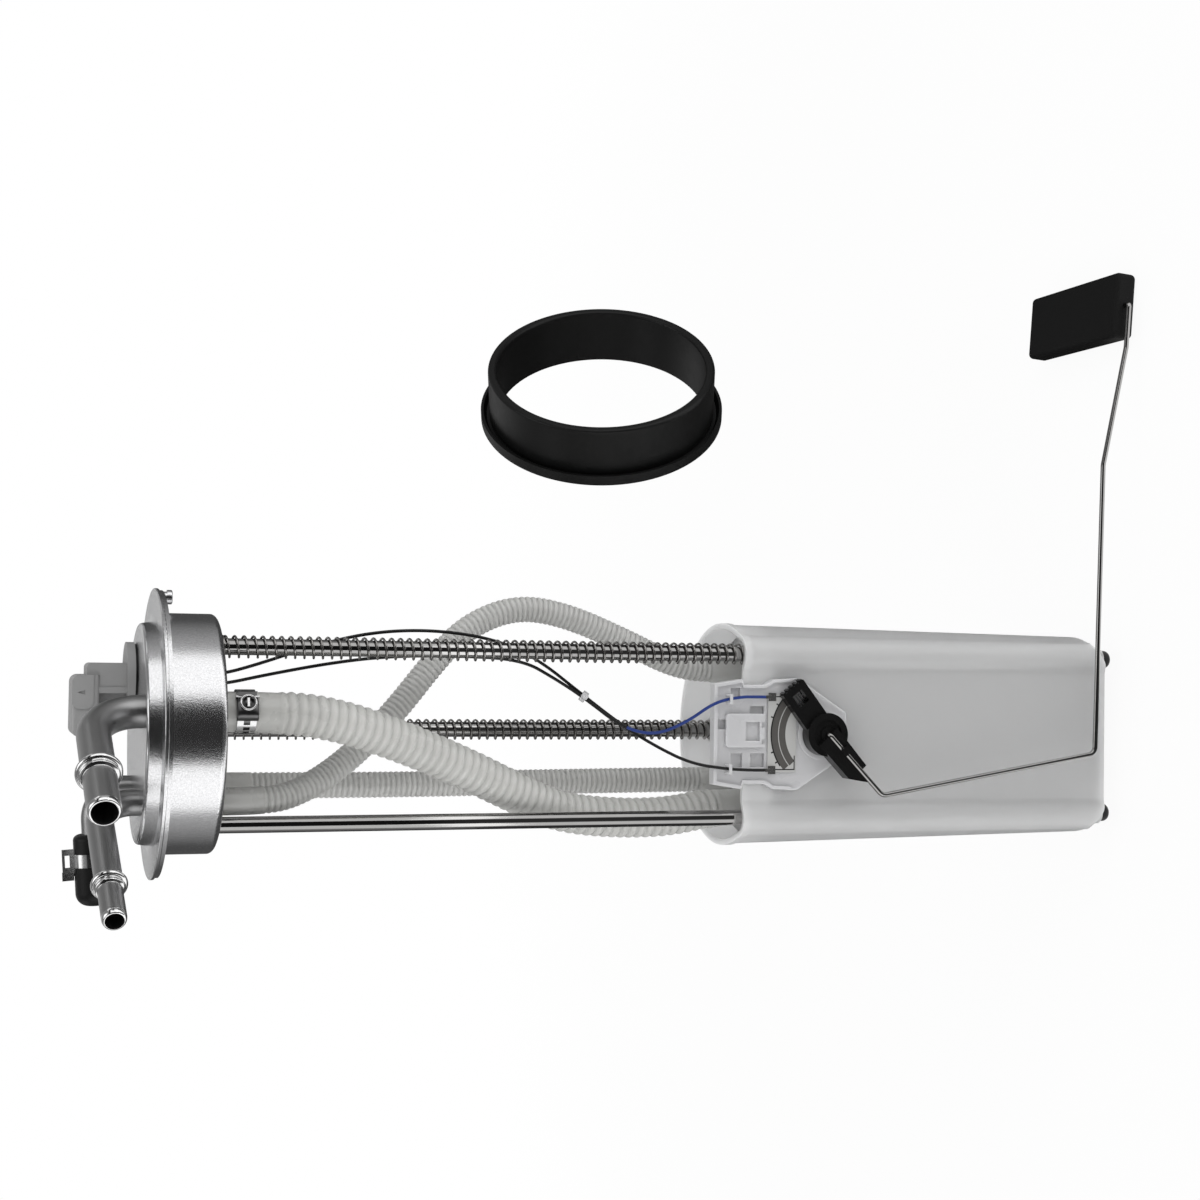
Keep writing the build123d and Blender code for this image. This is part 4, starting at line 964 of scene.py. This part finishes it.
def turned(name, at, outline, finish, sides=48):
    """A solid turned about a frame's z axis, from a closed outline of (radius, height)."""
    mesh = bmesh.new()
    rings = []
    for radius, height in outline:
        ring = []
        for k in range(sides):
            turn = 2 * math.pi * k / sides
            place = Vector((radius * math.cos(turn), radius * math.sin(turn), height))
            ring.append(mesh.verts.new(at @ place))
        rings.append(ring)
    for a, b in zip(rings, rings[1:]):
        for k in range(sides):
            n = (k + 1) % sides
            mesh.faces.new((a[k], a[n], b[n], b[k]))
    mesh.faces.new(rings[0])
    mesh.faces.new(rings[-1])
    return closed_mesh(name, mesh, finish)


def screw(finish):
    """The screw's head: a bright rounded rim round a recess with a driving bar in it, the recess
    darkened by a disc of painted shade.
    """
    at = clamp_frame()
    r = screw_head_r
    outline = [
        (r, screw_foot), (r, screw_top - 0.5), (r - 0.15, screw_top - 0.15), (r - 0.45, screw_top),
        (r - 0.75, screw_top - 0.1), (r - 0.9, screw_top - 0.4), (r - 0.95, screw_top - 1.1),
    ]
    head = turned("clamp_screw_head", at, outline, finish["clip_steel"])
    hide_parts("clamp_screw")
    # A dark disc at the floor of the recess: painted shade
    recess_shade = turned("clamp_screw_recess_shade", at, [(r - 0.92, screw_top - 1.2), (r - 0.92, screw_top - 1.0)],
                  finish["dark_steel"])
    mesh = bmesh.new()
    for vert in bmesh.ops.create_cube(mesh, size=1.0)["verts"]:
        x, y, z = [share * size for share, size in zip(vert.co, bar_size)]
        vert.co = at @ Vector((x, y, screw_top - bar_drop + z))
    bmesh.ops.bevel(mesh, geom=mesh.edges[:], offset=bar_edge * MM, segments=2, affect="EDGES")
    bar = closed_mesh("clamp_screw_bar", mesh, finish["clip_steel"], smooth=False)
    for piece in (head, recess_shade, bar):
        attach(piece, "flange")


# Wire tie
tie_width = 2.4
tie_points = (9, 11)
tie_outside = (2.5, 2.0)
tie_bore = (1.8, 1.3)
tie_head = (3.0, 2.6, 1.6)
tie_head_place = -2.4
tie_head_edge = 0.3


def wire_tie(finish):
    """A strap round both wires with its small square head."""
    low, high = box_of("wire_tie")
    middle = (low + high) / 2
    before, after = [Vector(blue_route[number]) for number in tie_points]
    way = (after - before).normalized()
    across = way.cross((0, 1, 0)).normalized()
    outward = across.cross(way)
    mesh = bmesh.new()
    sides = 24
    loops = []
    for end in (-1, 1):
        for widths in (tie_outside, tie_bore):
            loop = []
            for k in range(sides):
                turn = 2 * math.pi * k / sides
                place = middle + end * tie_width / 2 * way
                place += widths[0] * math.cos(turn) * across + widths[1] * math.sin(turn) * outward
                loop.append(mesh.verts.new(place * MM))
            loops.append(loop)
    for a, b in ((0, 1), (1, 3), (3, 2), (2, 0)):
        for k in range(sides):
            n = (k + 1) % sides
            mesh.faces.new((loops[a][k], loops[a][n], loops[b][n], loops[b][k]))
    head = bmesh.ops.create_cube(mesh, size=1.0)["verts"]
    for vert in head:
        along, aside, out = [share * size for share, size in zip(vert.co, tie_head)]
        place = middle + along * way + aside * across + (out + tie_head_place) * outward
        vert.co = place * MM
    edges = list({edge for vert in head for edge in vert.link_edges})
    bmesh.ops.bevel(mesh, geom=edges, offset=tie_head_edge * MM, segments=2, affect="EDGES")
    strap = closed_mesh("wire_tie_strap", mesh, finish, smooth=False)
    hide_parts("wire_tie")
    follows_slide(strap)


# Printed resistor, with radii and angles from the pivot
ink_height = 0.03
outer_edge = (24.2, 24.8)
outer_track = (21.2, 24.3)
inner_track = (17.7, 20.8)
track_angles = (50.0, 131.0)
edge_trim = (4, 6)
inner_more = 1
tick_radii = (24.8, 25.8)
tick_angles = (58.0, 72.0, 108.0, 119.0)
tick_turn = 1.4
trace_width = 0.5
trace_rise = 0.6
trace_insets = (1.0, 0.8)
trace_top = 3.6
foot_reach = 6.4
blue_length = 4.0


def pivot():
    """The sender's pivot and the front of the resistor card, in millimetres."""
    joint = [j for j in frame["joints"] if j["name"] == "float_arm"][0]
    x, _, z = [value / MM for value in joint["pos_m"]]
    return Vector((x, box_of("resistor_card")[0].y, z))


def print_piece(name, corners, finish):
    """A thin closed patch of ink whose corners are given in X and Z on the card's face."""
    centre = pivot()
    count = len(corners)
    points = []
    for depth in (0.0, ink_height):
        for x, z in corners:
            points.append(Vector((centre.x + x, centre.y - depth, centre.z + z)) * MM)
    faces = [tuple(reversed(range(count, 2 * count))), tuple(range(count))]
    for k in range(count):
        n = (k + 1) % count
        faces.append((k, k + count, n + count, n))
    patch = add_mesh(name, points, faces, finish, smooth=False)
    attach(patch, "reservoir")


def track(name, radii, angles, finish):
    """A printed arc round the pivot, with angles from +X towards +Z."""
    steps = 40
    turns = [math.radians(angles[0] + (angles[1] - angles[0]) * i / steps) for i in range(steps + 1)]
    inner = [(radii[0] * math.cos(t), radii[0] * math.sin(t)) for t in turns]
    outer = [(radii[1] * math.cos(t), radii[1] * math.sin(t)) for t in turns]
    ring_patch(name, inner, outer, finish)


def ring_patch(name, inner, outer, finish):
    """A thin closed strip between two rows of points on the card's face."""
    centre = pivot()
    count = len(inner)
    points = []
    for depth in (0.0, ink_height):
        for row in (inner, outer):
            for x, z in row:
                points.append(Vector((centre.x + x, centre.y - depth, centre.z + z)) * MM)
    faces = []
    for i in range(count - 1):
        a, b, c, d = i, count + i, 2 * count + i, 3 * count + i
        faces.append((a, a + 1, b + 1, b))
        faces.append((c, d, d + 1, c + 1))
        faces.append((a, c, c + 1, a + 1))
        faces.append((b, b + 1, d + 1, d))
    faces.append((0, count, 3 * count, 2 * count))
    last = count - 1
    faces.append((last, 2 * count + last, 3 * count + last, count + last))
    patch = add_mesh(name, points, faces, finish, smooth=False)
    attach(patch, "reservoir")


def resistor_print(finish):
    """The two tracks, their ticks and the traces to the terminals."""
    track("track_outer", outer_track, track_angles, finish["carbon_ink"])
    edge_angles = (track_angles[0] - edge_trim[0], track_angles[1] - edge_trim[1])
    track("track_edge", outer_edge, edge_angles, finish["dark_ink"])
    inner_angles = (track_angles[0], track_angles[1] + inner_more)
    track("track_inner", inner_track, inner_angles, finish["carbon_ink"])
    low, high = box_of("resistor_card")
    centre = pivot()
    foot_z = low.z - centre.z + trace_rise
    black_x = low.x - centre.x + trace_insets[0]
    blue_x = high.x - centre.x - trace_insets[1]
    top_z = high.z - centre.z - trace_top
    strips = {
        "trace_black": (black_x, foot_z, black_x + trace_width, top_z),
        "trace_foot": (black_x, foot_z, black_x + foot_reach, foot_z + trace_width),
        "trace_blue": (blue_x - trace_width, top_z - blue_length, blue_x, top_z),
    }
    for name, (x0, z0, x1, z1) in strips.items():
        print_piece(name, [(x0, z0), (x1, z0), (x1, z1), (x0, z1)], finish["dark_ink"])
    for i, angle in enumerate(tick_angles):
        track("tick_%d" % i, tick_radii, (angle, angle + tick_turn), finish["dark_ink"])


def main():
    bpy.context.scene.view_settings.view_transform = "Standard"
    camera()
    world()
    floor()
    studio()
    finish = finishes()
    dress(finish)
    spring("spring_upper", finish["spring_steel"])
    spring("spring_rear", finish["spring_steel"])
    hose("feed_hose", feed_route, *feed_form, finish["hose_plastic"])
    hose("return_hose", return_route, *thin_form, finish["hose_plastic"])
    hose("vent_hose", vent_route, *thin_form, finish["hose_plastic"])
    wire("wire_black", black_route, wire_d, finish["wire_black"])
    wire("wire_blue", blue_route, wire_d, finish["wire_blue"], finish["wire_black"])
    wire_tie(finish["white_plastic"])
    open_pipe("feed_pipe", "feed_pipe_end", feed_route, box_of("feed_pipe")[0].z, finish)
    open_pipe("return_pipe", "return_pipe_end", return_route, box_of("return_pipe")[0].z, finish)
    clamp_strap(finish)
    saddle(finish)
    screw(finish)
    resistor_print(finish)


main()
